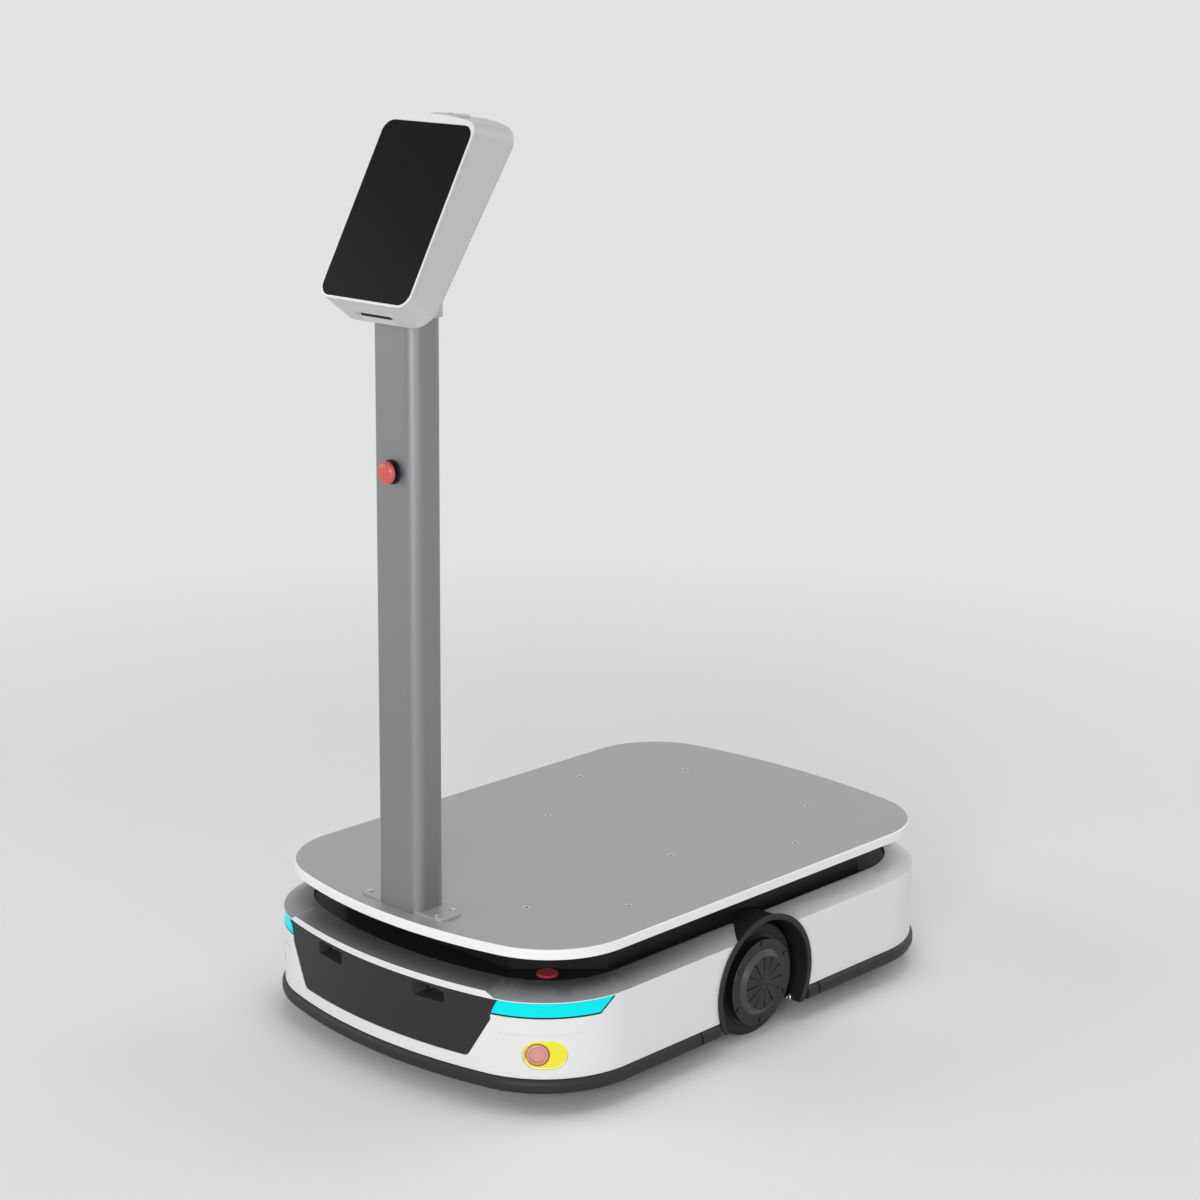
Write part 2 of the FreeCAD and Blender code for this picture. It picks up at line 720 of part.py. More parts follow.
def scoop(name, middle):
    """A hooded recess that narrows from the panel's face down to the camera window."""
    front = -(S.wall_half_long + 5)
    deep = -(S.wall_half_long - scoop_sag() - S.scoop_deep)
    sections = []
    stations = ((front, S.scoop_wide / 2, S.scoop_tall / 2), (deep, S.window_wide / 2, S.window_tall / 2))
    for number, (y, wide, tall) in enumerate(stations):
        sketch = sketch_on(f"{name}_section_{number}", "XZ", (0, y, 0))
        round_box(sketch, middle - wide, S.scoop_height - tall, middle + wide,
                  S.scoop_height + tall, 3)
        sections.append(sketch)
    seat = sketch_on(name + "_seat_face", "XZ", (0, deep + S.window_thick, 0))
    window_outline(seat, middle, as_size(0))
    return fuse(name, lofted(name + "_throat", *sections),
                extruded(name + "_seat", seat, S.window_thick + 0.5))


def make_lights():
    """The two corner lights."""
    for side, word in ((1, "right"), (-1, "left")):
        band = wall_band(f"light_{word}_band", as_size(-0.5), -(S.light_thick + 0.5),
                         S.light_low, S.brow_low)
        piece(f"light_strip_{word}", common(f"light_strip_{word}", band,
                                            light_block(f"light_{word}_space", as_size(0), side)))


def make_corner_buttons():
    """Yellow corner pads with a round button in each."""
    deep = S.knob_well
    plate = common("pad_plate", pad_prism("pad_pill", as_size(0), S.pad_sunk, S.pad_sunk + S.pad_thick),
                   wall_prism("pad_wall", -S.pad_sunk, 0, S.wall_high))
    sleeve = pad_round("pad_sleeve", S.knob_radius + 3, S.pad_sunk + S.pad_thick / 2, deep)
    bore = pad_round("pad_bore", S.knob_radius + S.slip_gap, -2, deep - 3)
    stem_hole = pad_round("pad_stem_hole", S.knob_radius / 2 + S.slip_gap, deep - 4, deep + 2)
    base = cut("button_base_right", fuse("pad_solid", plate, sleeve), bore, stem_hole)
    piece("button_base_right", base)
    piece("button_base_left", mirrored("button_base_left", base))
    face = S.pad_sunk + 1
    head_tall = deep - 3 - S.knob_travel - 0.5
    head = pad_round("knob_head", S.knob_radius, face, head_tall)
    stem = pad_round("knob_stem", S.knob_radius / 2, head_tall - 1, deep - 0.5)
    solid = fuse("knob_solid", head, stem)
    knob = rounded_edges("corner_button_right", solid, as_size(1.5),
                         lambda edge: is_circle(edge, S.knob_radius.number) and is_outermost(edge, solid))
    piece("corner_button_right", knob)
    piece("corner_button_left", mirrored("corner_button_left", knob))


def is_circle(edge, radius):
    """Whether an edge is a circle of a radius."""
    return isinstance(edge.Curve, Part.Circle) and abs(edge.Curve.Radius - radius) < 1e-6


def is_outermost(edge, solid):
    """Whether an edge lies at the solid's end away from the robot's middle."""
    distance = [math.hypot(item.CenterOfMass.x, item.CenterOfMass.y) for item in solid.Shape.Edges]
    here = math.hypot(edge.CenterOfMass.x, edge.CenterOfMass.y)
    return here > max(distance) - 2


def make_deck():
    """The black tray inside the shoulder and the frame that holds the load plate up."""
    tray = wall_prism("tray_plate", -(S.shoulder_lip + S.seat_gap), S.tray_top - S.tray_thick,
                      S.tray_top, DECK)
    power = (S.power_out, S.power_front)
    low = S.tray_top - S.power_cup
    cup = cylinder("tray_cup", S.power_radius + 3, S.power_cup - 1, (*power, low))
    hole = cylinder("tray_cup_hole", S.power_radius + S.slip_gap, S.power_cup + 5, (*power, low + 2))
    arches = arch_cutters("tray_arch", S.arch_radius + S.seat_gap, S.wall_low)
    drills = [pan_drill(f"tray_drill_{number}", x, y, S.tray_top)
              for number, (x, y) in enumerate(ledge_screw_places())]
    piece("deck_tray", cut("deck_tray", fuse("tray_solid", tray, cup), hole, *arches, *drills))
    outer, inner = frame_prism("frame_outer", as_size(0)), frame_prism("frame_inner", -S.frame_wall, 1)
    arches = arch_cutters("frame_arch", S.arch_radius + S.seat_gap, S.wall_low)
    piece("deck_frame", cut("deck_frame", outer, inner, *arches))
    button = cylinder("power_solid", S.power_radius, S.power_cup - 2 + S.power_proud - S.power_travel - 0.3,
                      (*power, low + 2 + S.power_travel + 0.3))
    top = S.tray_top.number + S.power_proud.number
    piece("power_button", rounded_edges("power_button", button, as_size(1),
                                        lambda edge: edge.CenterOfMass.z > top - 0.1))


def ledge_screw_places():
    """Plan places of the small screws along the deck's black ledge."""
    places = [(S.ledge_out * side, y) for y in LEDGE_SCREWS for side in (1, -1)]
    return places + [(S.ledge_front_out * side, S.ledge_front) for side in (1, -1)]


def frame_prism(name, grow, over=0):
    """The bevelled rectangle of the deck frame."""
    sketch = sketch_on(name + "_plan", "XY", (0, 0, S.tray_top - over))
    wide, far = S.frame_half_wide + grow, S.frame_half_long + grow
    bevel = S.frame_bevel + grow * (2 - math.sqrt(2))
    polygon(sketch, [
        (wide, bevel - far), (wide, far - bevel), (wide - bevel, far), (bevel - wide, far),
        (-wide, far - bevel), (-wide, bevel - far), (bevel - wide, -far), (wide - bevel, -far)])
    return extruded(name, sketch, S.plate_top - S.plate_thick - S.tray_top + 2 * over)


# ---------------------------------------------------------------- load plate

PLATE_SCREWS = [(114, 288), (200, 156), (114, 3), (200, -172), (114, -267)]


def plate_screw_places():
    """The ten screw places of the load plate."""
    return [(x * side, y) for x, y in PLATE_SCREWS for side in (1, -1)]


def make_load_plate():
    """The aluminium load plate, countersunk for its screws."""
    plate = body("load_plate")
    plan = sketch_in(plate, "plate_plan", "XY_Plane", S.plate_top - S.plate_thick)
    bulged(plan, S.plate_half_wide, S.plate_half_long, S.plate_end_radius, S.plate_corner,
           rear=(S.plate_rear_radius, S.plate_rear_corner))
    slab = pad(plate, plan, S.plate_thick)
    doc.recompute()
    top = S.plate_top.number
    rim = [f"Edge{number}" for number, edge in enumerate(slab.Shape.Edges, start=1)
           if edge.BoundBox.ZMin > top - 0.01]
    edge = plate.newObject("PartDesign::Chamfer", "plate_edge")
    edge.Base = (slab, rim)
    bind(edge, "Size", S.plate_edge)
    bores = sketch_in(plate, "plate_bores", "XY_Plane", S.plate_top)
    for x, y in plate_screw_places():
        circle(bores, x, y, S.screw_shank + S.slip_gap)
    pocket(plate, bores, S.screw_length + 5)
    doc.recompute()
    cone_deep = S.screw_head - S.screw_shank
    for number, (x, y) in enumerate(plate_screw_places()):
        sink = plate.newObject("PartDesign::SubtractiveCone", f"plate_sink_{number}")
        bind(sink, "Radius1", S.screw_shank + S.slip_gap)
        bind(sink, "Radius2", S.screw_head + S.slip_gap)
        bind(sink, "Height", cone_deep)
        sink.AttachmentSupport = (next(
            item for item in plate.Origin.OriginFeatures if item.Role == "XY_Plane"), [""])
        sink.MapMode = "FlatFace"
        sink.AttachmentOffset = Placement(Vector(x, y, 0), Rotation())
        bind(sink, "AttachmentOffset.Base.z", S.plate_top - cone_deep)
    heads = [countersunk_screw(f"plate_screw_{number}", x, y, S.plate_top)
             for number, (x, y) in enumerate(plate_screw_places())]
    piece("plate_screws", group("plate_screws", *heads))


def countersunk_screw(name, x, y, top):
    """A countersunk socket screw, head flush with a face."""
    head, shank = S.screw_head, S.screw_shank
    sketch = sketch_on(name + "_half", "XZ", (x, y, top))
    polygon(sketch, [(0, -S.screw_length), (shank, -S.screw_length), (shank, shank - head),
                     (head, 0), (S.screw_socket, 0), (S.screw_socket, -S.screw_socket),
                     (0, -S.screw_socket)])
    return turned(name, sketch, Vector(0, 0, 1), (x, y, 0))


# ---------------------------------------------------------------- column and foot

def make_column():
    """The column tube, its foot plate and the foot's screws."""
    column = body("column")
    low, high = S.plate_top, S.column_top
    half_wide, half_deep = S.column_wide / 2, S.column_deep / 2
    middle = S.column_middle
    plan = sketch_in(column, "column_plan", "XY_Plane", low)
    round_box(plan, -half_wide, middle - half_deep, half_wide, middle + half_deep, S.column_corner)
    pad(column, plan, high - low)
    room = sketch_in(column, "column_room", "XY_Plane", high)
    wall = S.column_wall
    round_box(room, wall - half_wide, middle - half_deep + wall, half_wide - wall,
              middle + half_deep - wall, S.column_corner - wall)
    doc.recompute()
    pocket(column, room, high - low)
    hole = sketch_in(column, "column_stop_hole", "XZ_Plane", half_deep - middle + 5)
    circle(hole, 0, S.stop_height, S.stop_stem + 2 + S.slip_gap)
    doc.recompute()
    pocket(column, hole, half_deep)
    make_foot()


def make_foot():
    """The foot: a thin plate with round ends around the column, held by four screws."""
    far, deep, middle = S.foot_half_long, S.foot_half_deep, S.foot_middle
    plan = sketch_on("foot_plan", "XY", (0, 0, S.plate_top))
    round_box(plan, -far, middle - deep, far, middle + deep, S.foot_corner)
    slab = extruded("foot_slab", plan, S.foot_thick)
    gap = S.seat_gap
    half_wide, half_deep = S.column_wide / 2 + gap, S.column_deep / 2 + gap
    hole_plan = sketch_on("foot_hole_plan", "XY", (0, 0, S.plate_top - 1))
    round_box(hole_plan, -half_wide, S.column_middle - half_deep, half_wide,
              S.column_middle + half_deep, S.column_corner + gap)
    hole = extruded("foot_hole", hole_plan, S.foot_thick + 2)
    places = [(S.foot_screw_out * side, middle + S.foot_screw_apart / 2 * way)
              for side in (-1, 1) for way in (-1, 1)]
    foot_top = S.plate_top + S.foot_thick
    drills = [pan_drill(f"foot_drill_{number}", x, y, foot_top) for number, (x, y) in enumerate(places)]
    piece("column_foot", cut("column_foot", slab, hole, *drills))
    seats = [(x, y, foot_top) for x, y in places]
    seats += [(x, y, S.tray_top) for x, y in ledge_screw_places()]
    piece("pan_screws", group("pan_screws", *(
        pan_screw(f"pan_screw_{number}", *seat) for number, seat in enumerate(seats))))


def pan_drill(name, x, y, seat):
    """The hole of a pan-head screw, through the plate under its seat."""
    return cylinder(name, S.pan_shank + S.run_gap, S.pan_length + 3, (x, y, seat - S.pan_length - 2))


def pan_screw(name, x, y, seat):
    """A small pan-head screw standing on a face."""
    head = cylinder(name + "_head", S.pan_head, S.pan_tall, (x, y, seat))
    shank = cylinder(name + "_shank", S.pan_shank, S.pan_length, (x, y, seat - S.pan_length))
    socket = cylinder(name + "_socket", S.pan_socket, S.pan_tall, (x, y, seat + S.pan_tall / 2))
    return cut(name, fuse(name + "_solid", head, shank), socket)


# ---------------------------------------------------------------- head

LEAN = math.radians(S.head_lean.number)
TAPER = math.radians(S.head_taper.number)
SINE = Size(math.sin(LEAN), "sin(Sizes.head_lean * 1deg)")
COSINE = Size(math.cos(LEAN), "cos(Sizes.head_lean * 1deg)")
SPREAD = Size(math.tan(TAPER), "tan(Sizes.head_taper * 1deg)")
SCREEN_FRONT = S.column_middle - S.head_forward
SCREEN_LOW = S.column_top + S.head_rise
CHIN_SLOPE = (S.head_back_low - S.head_rim) / (S.head_deep - S.bezel_deep)
HEAD_WIDE = S.glass_half_wide + S.head_rim


def across_turn(degrees):
    """A turn about X."""
    return Rotation(Vector(1, 0, 0), degrees)


def screen_point(up, behind):
    """Place of a point given up the screen from its low edge and behind its face."""
    return (0, SCREEN_FRONT + up * SINE + behind * COSINE, SCREEN_LOW + up * COSINE - behind * SINE)


def head_sketch(name, behind):
    """A sketch parallel to the screen; x across, y up the screen."""
    return sketch_on(name, "XY", screen_point(as_size(0), as_size(behind)),
                     across_turn(90 - S.head_lean.number))


def head_outline(sketch, low, high, crown, corner):
    """The head seen square to its screen: straight sides, round corners and an arched top."""
    wide = HEAD_WIDE
    radius = (wide * wide + crown * crown) / (crown * 2)
    w, y0, y1, r = wide.number, low.number, high.number, corner.number
    big = radius.number
    top_middle = y1 + crown.number - big
    out = w - r
    up = top_middle + math.sqrt((big - r) ** 2 - out ** 2)
    lean = Vector(out, up - top_middle, 0).normalize()
    touch = Vector(0, top_middle, 0) + lean * big

    def flip(point):
        return Vector(-point.x, point.y, 0)

    right_top = Vector(w, up, 0)
    crown_point = Vector(out, up, 0) + ((right_top + touch) / 2 - Vector(out, up, 0)).normalize() * r
    diagonal = r * math.sqrt(0.5)
    curves = [
        Part.LineSegment(Vector(-out, y0, 0), Vector(out, y0, 0)),
        Part.Arc(Vector(out, y0, 0), Vector(out + diagonal, y0 + r - diagonal, 0), Vector(w, y0 + r, 0)),
        Part.LineSegment(Vector(w, y0 + r, 0), right_top),
        Part.Arc(right_top, crown_point, touch),
        Part.Arc(touch, Vector(0, y1 + crown.number, 0), flip(touch)),
        Part.Arc(flip(touch), flip(crown_point), flip(right_top)),
        Part.LineSegment(flip(right_top), Vector(-w, y0 + r, 0)),
        Part.Arc(Vector(-w, y0 + r, 0), Vector(-out - diagonal, y0 + r - diagonal, 0), Vector(-out, y0, 0)),
    ]
    order = [sketch.addGeometry(curve) for curve in curves]
    for index, number in enumerate(order):
        following = order[(index + 1) % len(order)]
        pairs = [(a, b) for a in (1, 2) for b in (1, 2)]
        best = min(pairs, key=lambda pair: sketch.getPoint(number, pair[0]).distanceToPoint(
            sketch.getPoint(following, pair[1])))
        sketch.addConstraint(Sketcher.Constraint("Tangent", number, best[0], following, best[1]))
    sketch.addConstraint(Sketcher.Constraint("Horizontal", order[0]))
    dimension(sketch, "DistanceY", (*ORIGIN, order[0], 1), low)
    for number, sign in ((order[2], 1), (order[6], -1)):
        sketch.addConstraint(Sketcher.Constraint("Vertical", number))
        dimension(sketch, "DistanceX", (*ORIGIN, number, 1), wide * sign)
    for number in (order[1], order[3], order[5], order[7]):
        dimension(sketch, "Radius", (number,), corner)
    sketch.addConstraint(Sketcher.Constraint("PointOnObject", order[4], 3, -2))
    dimension(sketch, "DistanceY", (*ORIGIN, order[4], 3), high + crown - radius)
    dimension(sketch, "Radius", (order[4],), radius)


def front_outline(name, behind):
    """The head's outline at its rim, drawn at a depth behind the screen."""
    sketch = head_sketch(name, behind)
    head_outline(sketch, -S.head_rim, S.glass_tall + S.head_rim, S.head_crown, S.head_corner)
    return sketch


def glass_plate(name, grow, front, back):
    """A slice with the glass's outline between two depths behind the screen."""
    sketch = head_sketch(name + "_outline", back)
    wide = S.glass_half_wide + grow
    round_box(sketch, -wide, -as_size(grow), wide, S.glass_tall + grow, S.glass_corner + grow)
    return extruded(name, sketch, as_size(back) - as_size(front))


def on_head_back(edge):
    """Whether an edge lies in the head's rear face."""
    point = edge.CenterOfMass
    dy, dz = point.y - SCREEN_FRONT.number, point.z - SCREEN_LOW.number
    up = dy * math.sin(LEAN) + dz * math.cos(LEAN)
    behind = dy * math.cos(LEAN) - dz * math.sin(LEAN)
    return abs(behind - S.head_deep.number - up * math.tan(TAPER)) < 0.1


def make_head():
    """The screen, its bezel, the housing behind it, the finger slot and the eye on top."""
    bezel = extruded("bezel_slab", front_outline("bezel_outline", S.bezel_deep), S.bezel_deep)
    seat = glass_plate("bezel_seat", as_size(0), -1, S.glass_thick + S.seat_gap)
    through = glass_plate("bezel_through", as_size(-3), 0, S.bezel_deep + 1)
    piece("head_bezel", cut("head_bezel", bezel, seat, through))
    piece("screen_glass", glass_plate("screen_glass", -S.seat_gap, S.seat_gap, S.glass_thick))
    piece("display_module", glass_plate("display_module", as_size(-4), S.glass_thick + S.seat_gap,
                                        S.bezel_deep + S.display_deep))
    rear = sketch_on("housing_rear", "XY", screen_point(as_size(0), S.head_deep),
                     across_turn(90 - S.head_lean.number - S.head_taper.number))
    head_outline(rear, -S.head_back_low, S.glass_tall + S.head_back_high, S.head_back_crown,
                 S.head_back_corner)
    form = lofted("housing_form", front_outline("housing_front", S.bezel_deep), rear)
    shell = rounded_edges("housing_round", form, S.head_back_round, on_head_back)
    room = glass_plate("housing_room", as_size(-2), S.bezel_deep - 1, S.head_room)
    socket = column_prism("housing_socket", S.seat_gap, S.column_top - S.neck_drop * 2, S.column_top)
    wires = cylinder("housing_wires", S.wire_way, S.head_deep + 10,
                     (0, S.column_middle - S.wire_way, S.column_top - 1))
    recess, window = finger_slot()
    solid = fuse("housing_solid", shell, neck())
    eye_seat = on_top("housing_eye_seat", S.eye_radius + S.seat_gap, -S.eye_sunk, S.eye_tall)
    piece("head_housing", cut("head_housing", solid, room, socket, wires, recess, eye_seat))
    piece("chin_window", window)
    make_eye()


def column_prism(name, grow, low, high):
    """A prism with the column's outline, grown by a gap."""
    sketch = sketch_on(name + "_plan", "XY", (0, 0, low))
    half_wide, half_deep = S.column_wide / 2 + grow, S.column_deep / 2 + grow
    middle = S.column_middle
    round_box(sketch, -half_wide, middle - half_deep, half_wide, middle + half_deep, S.column_corner + grow)
    return extruded(name, sketch, high - low)


def neck():
    """The sleeve that runs from the head's rear face down over the column's top."""
    low = S.column_top - S.neck_drop
    sleeve = column_prism("neck_sleeve", S.neck_skin, low, SCREEN_LOW + S.glass_tall)
    half_deep = S.column_deep / 2 + S.neck_skin
    near, far = S.column_middle - half_deep, S.column_middle + half_deep
    _, start, height = screen_point(as_size(0), S.head_deep - S.neck_sunk)
    steep = 1 / math.tan(LEAN + TAPER)
    side = side_prism("neck_side", [(near, low), (far, low), (far, height + (far - start) * steep),
                                    (near, height + (near - start) * steep)],
                      -S.column_wide, S.column_wide * 2)
    return common("neck", sleeve, side)


def finger_slot():
    """The scooped slot in the chin and the dark window along its upper edge."""
    behind, tall = S.slot_behind, S.slot_tall
    up = -(S.head_rim + (behind - S.bezel_deep) * CHIN_SLOPE)
    fall = S.head_lean.number + math.degrees(math.atan(CHIN_SLOPE.number))
    turn = across_turn(180 - fall - S.slot_tilt.number)
    face = sketch_on("slot_face", "XY", screen_point(up, behind), turn)
    wide = S.slot_half_wide
    round_box(face, -wide, -tall / 2, wide, tall, S.slot_corner)
    strip = sketch_on("slot_window_face", "XY", screen_point(up, behind), turn)
    half, edge = S.slot_window_wide, tall - S.seat_gap
    round_box(strip, -half, edge - S.slot_window_tall, half, edge, S.slot_window_thick)
    return extruded("slot_recess", face, tall), extruded("chin_window", strip, S.slot_window_thick)


def on_top(name, radius, low, high, top_radius=None):
    """A round piece on the head's top, between two heights over it; a cone if two radii are given."""
    back_high = S.head_back_high + S.head_back_crown - S.head_rim - S.head_crown
    depth = S.head_deep + (S.glass_tall + S.head_back_high) * SPREAD - S.bezel_deep
    behind = S.eye_back
    up = S.glass_tall + S.head_rim + S.head_crown + (behind - S.bezel_deep) * back_high / depth
    lean = math.radians(S.eye_lean.number)
    sine = Size(math.sin(lean), "sin(Sizes.eye_lean * 1deg)")
    cosine = Size(math.cos(lean), "cos(Sizes.eye_lean * 1deg)")
    x, y, z = screen_point(up, behind)
    low, high = as_size(low), as_size(high)
    at = (x, y + low * sine, z + low * cosine)
    if top_radius is None:
        thing = doc.addObject("Part::Cylinder", name)
        bind(thing, "Radius", radius)
    else:
        thing = doc.addObject("Part::Cone", name)
        bind(thing, "Radius1", radius)
        bind(thing, "Radius2", top_radius)
    bind(thing, "Height", high - low)
    return place(thing, at, across_turn(-S.eye_lean.number))


def make_eye():
    """The round bevelled eye with its lens."""
    rim = S.eye_tall - S.eye_bevel
    disc = on_top("eye_disc", S.eye_radius, -S.eye_sunk, rim)
    bevel = on_top("eye_cone", S.eye_radius, rim, S.eye_tall, S.eye_radius - S.eye_bevel * 2)
    seat = on_top("eye_lens_seat", S.eye_lens + S.seat_gap, S.eye_tall - 1, S.eye_tall + 1)
    piece("head_eye", cut("head_eye", fuse("eye_solid", disc, bevel), seat))
    piece("eye_lens", on_top("eye_lens", S.eye_lens, S.eye_tall - 1, S.eye_tall + S.eye_lens_proud))


# ---------------------------------------------------------------- emergency stop on the column

def make_stop():
    """The red mushroom stop on the column's front."""
    front = S.column_middle - S.column_deep / 2
    at = (0, front, S.stop_height)
    collar = cylinder("stop_ring", S.stop_collar, S.stop_collar_tall, at, "-Y")
    deep = S.stop_sleeve_deep
    sleeve = cylinder("stop_sleeve", S.stop_stem + 2, deep + S.stop_collar_tall,
                      (0, front + deep, S.stop_height), "-Y")
    bore = cylinder("stop_bore", S.stop_stem + S.run_gap, 40, (0, front + 15, S.stop_height), "-Y")
    piece("stop_collar", cut("stop_collar", fuse("stop_collar_solid", collar, sleeve), bore))
    reach = S.stop_collar_tall + S.stop_travel + 0.5
    stem = cylinder("stop_plunger", S.stop_stem, 11 + reach + 3, (0, front + 11, S.stop_height), "-Y")
    piece("stop_plunger", stem)
    face = front - reach
    sketch = sketch_on("stop_cap_half", "YZ", (0, 0, S.stop_height))
    cap, tall = S.stop_cap, S.stop_cap_tall
    neck = S.stop_stem + S.run_gap
    polygon(sketch, [(face, neck), (face, cap - 1), (face - 1, cap), (face - tall * 0.45, cap),
                     (face - tall * 0.8, cap * 0.8), (face - tall, cap * 0.45), (face - tall, 0),
                     (face - 3.2, 0), (face - 3.2, neck)])
    piece("stop_cap", turned("stop_cap", sketch, Vector(0, 1, 0), (0, 0, S.stop_height)))


# ---------------------------------------------------------------- drive wheels

def wheel_profile(name, points):
    """A half profile beside the axle, turned about it; x outwards, radius up."""
    sketch = sketch_on(name + "_half", "XZ", (0, 0, S.wheel_radius))
    polygon(sketch, points)
    return turned(name, sketch, Vector(1, 0, 0), (0, 0, S.wheel_radius))


def make_wheels():
    """Right drive wheel, and the left as its mirror."""
    out, wide, radius, rim = S.tyre_out, S.tyre_wide, S.wheel_radius, S.rim_radius
    tread = [(out - wide, rim), (out, rim), (out, radius - 6), (out - 2, radius - 2), (out - 6, radius)]
    for groove in (0.3, 0.5, 0.7):
        middle = out - wide * groove
        tread += [(middle + 1.5, radius), (middle + 1, radius - 2), (middle - 1, radius - 2),
                  (middle - 1.5, radius)]
    tread += [(out - wide + 6, radius), (out - wide + 2, radius - 2), (out - wide, radius - 6)]
    tyre = wheel_profile("tyre_right", tread)
    back = out - wide
    bore = S.axle_radius + S.run_gap
    core = rim - S.seat_gap
    hub = wheel_profile("hub_right", [
        (back + 1, bore), (back + 1, core - 8), (back, core - 6), (back, core), (S.hub_out, core),
        (S.hub_out, S.axle_radius + 6), (S.hub_out - 4, S.axle_radius + 6), (S.hub_out - 4, bore)])
    cover = wheel_cover()
    screws = []
    for number in range(6):
        angle = math.radians(60 * number + 30)
        y, z = S.cover_screw_ring * math.cos(angle), S.cover_screw_ring * math.sin(angle)
        at = (S.cover_out, y, S.wheel_radius + z)
        screws.append(cylinder(f"cover_screw_{number}", S.cover_screw_head, 1.5, at, "X"))
    heads = group("cover_screws_right", *screws)
    for label, thing in (("tyre", tyre), ("hub", hub), ("wheel_cover", cover), ("cover_screws", heads)):
        piece(f"{label}_right", thing)
        piece(f"{label}_left", mirrored(f"{label}_left", thing))


def wheel_cover():
    """The dished hub cover with radial slots, built as a body: revolve, slot, polar pattern."""
    cover = doc.addObject("PartDesign::Body", "wheel_cover_right")
    half = sketch_in(cover, "cover_half", "XZ_Plane")
    inner, out = S.hub_out, S.cover_out
    flange, radius, dish = S.cover_flange, S.cover_radius, S.cover_dish
    base = S.wheel_radius
    polygon(half, [
        (inner, base), (inner, base + radius), (out - 2, base + radius), (out, base + radius - 2),
        (out, base + flange), (out - dish, base + flange * 0.8), (out - dish, base + S.cover_boss + 4),
        (out - dish + 3, base + S.cover_boss), (out - dish + 3, base)])
    spin = cover.newObject("PartDesign::Revolution", "cover_spin")
    spin.Profile = half
    spin.ReferenceAxis = (half, ["Edge1"])
    spin.Angle = 360
    axis = sketch_in(cover, "cover_axis", "XZ_Plane")
    line = axis.addGeometry(Part.LineSegment(Vector(0, base.number, 0), Vector(out.number, base.number, 0)))
    pin_point(axis, line, 1, 0, base)
    pin_point(axis, line, 2, out, base)
    spin.ReferenceAxis = (axis, ["Edge1"])
    slot = sketch_in(cover, "cover_slot", "YZ_Plane", out - dish + 5)
    near, far = S.cover_boss + 6, flange * 0.8 - 2
    round_box(slot, near, base - 1.8, far, base + 1.8, 1.7)
    doc.recompute()
    drill = pocket(cover, slot, 8)
    doc.recompute()
    ring = cover.newObject("PartDesign::PolarPattern", "cover_ring")
    ring.Originals = [drill]
    ring.Axis = (axis, ["Edge1"])
    ring.Angle = 360
    bind(ring, "Occurrences", S.cover_slots)
    cover.Tip = ring
    return cover


def make_arches():
    """Black wheel arches: a tube round the wheel with a lip outside and a wall inside."""
    radius = S.arch_radius - S.slip_gap
    inner, out = S.arch_inner, S.wall_half_wide + 0.5
    room = radius - S.arch_skin
    tube = wheel_round("arch_tube", radius, inner, out - inner + 2)
    lip = wheel_round("arch_lip_ring", radius + S.arch_lip, out, 2.5)
    space = wheel_round("arch_space", room, inner + S.arch_skin, 200)
    axle_way = wheel_round("arch_axle_way", S.axle_radius + 12, inner - 5, 20)
    below = box("arch_below", (inner - 5, -200, -50), (out + 20, 200, S.arch_low))
    solid = fuse("arch_solid", tube, lip)
    right = cut("wheel_arch_right", solid, space, axle_way, below)
    piece("wheel_arch_right", right)
    piece("wheel_arch_left", mirrored("wheel_arch_left", right))


def make_arms():
    """Suspension arms: each carries an axle and pivots on a pin in its bracket."""
    inner, thick = S.arm_out - S.arm_thick, S.arm_thick
    length, tall = S.arm_length, S.arm_half_tall
    sketch = sketch_on("arm_face", "YZ", (inner, 0, S.wheel_radius))
    round_box(sketch, -tall, -tall, length + tall, tall, tall * 0.98)
    plate = extruded("arm_plate", sketch, thick)
    axle = wheel_round("arm_axle", S.axle_radius, inner, S.hub_out - 5 - inner)
    pivot_at = (inner - 5, length, S.wheel_radius)
    eye_hole = cylinder("arm_eye", S.pivot_radius + S.run_gap, thick + 10, pivot_at, "X")
    arm = cut("suspension_arm_right", fuse("arm_solid", plate, axle), eye_hole)
    piece("suspension_arm_right", arm)
    piece("suspension_arm_left", mirrored("suspension_arm_left", arm))
    floor = S.wall_low + S.pan_skin
    gap = S.slip_gap
    ears = [box("pivot_ear_in", (inner - gap - 6, length - 14, floor),
                (inner - gap, length + 14, S.wheel_radius + 16)),
            box("pivot_foot", (inner - gap - 34, length - 14, floor), (inner - gap, length + 14, floor + 5)),
            cylinder("pivot_pin", S.pivot_radius, thick + gap + 4, (inner - gap - 3, length, S.wheel_radius), "X")]
    bracket = fuse("pivot_bracket_right", *ears)
    piece("pivot_bracket_right", bracket)
    piece("pivot_bracket_left", mirrored("pivot_bracket_left", bracket))


# ---------------------------------------------------------------- casters

def caster_places():
    """Names and plan places of the four casters."""
    out, along = S.wall_half_wide - S.caster_side_in, S.wall_half_long - S.caster_end_in
    return [(f"{end}_{side}", out * sign, y)
            for end, y in (("front", -along), ("rear", along))
            for side, sign in (("right", 1), ("left", -1))]


def make_casters():
    """Four swivel casters in wells of the base pan."""
    for word, x, y in caster_places():
        make_caster(word, x, y)


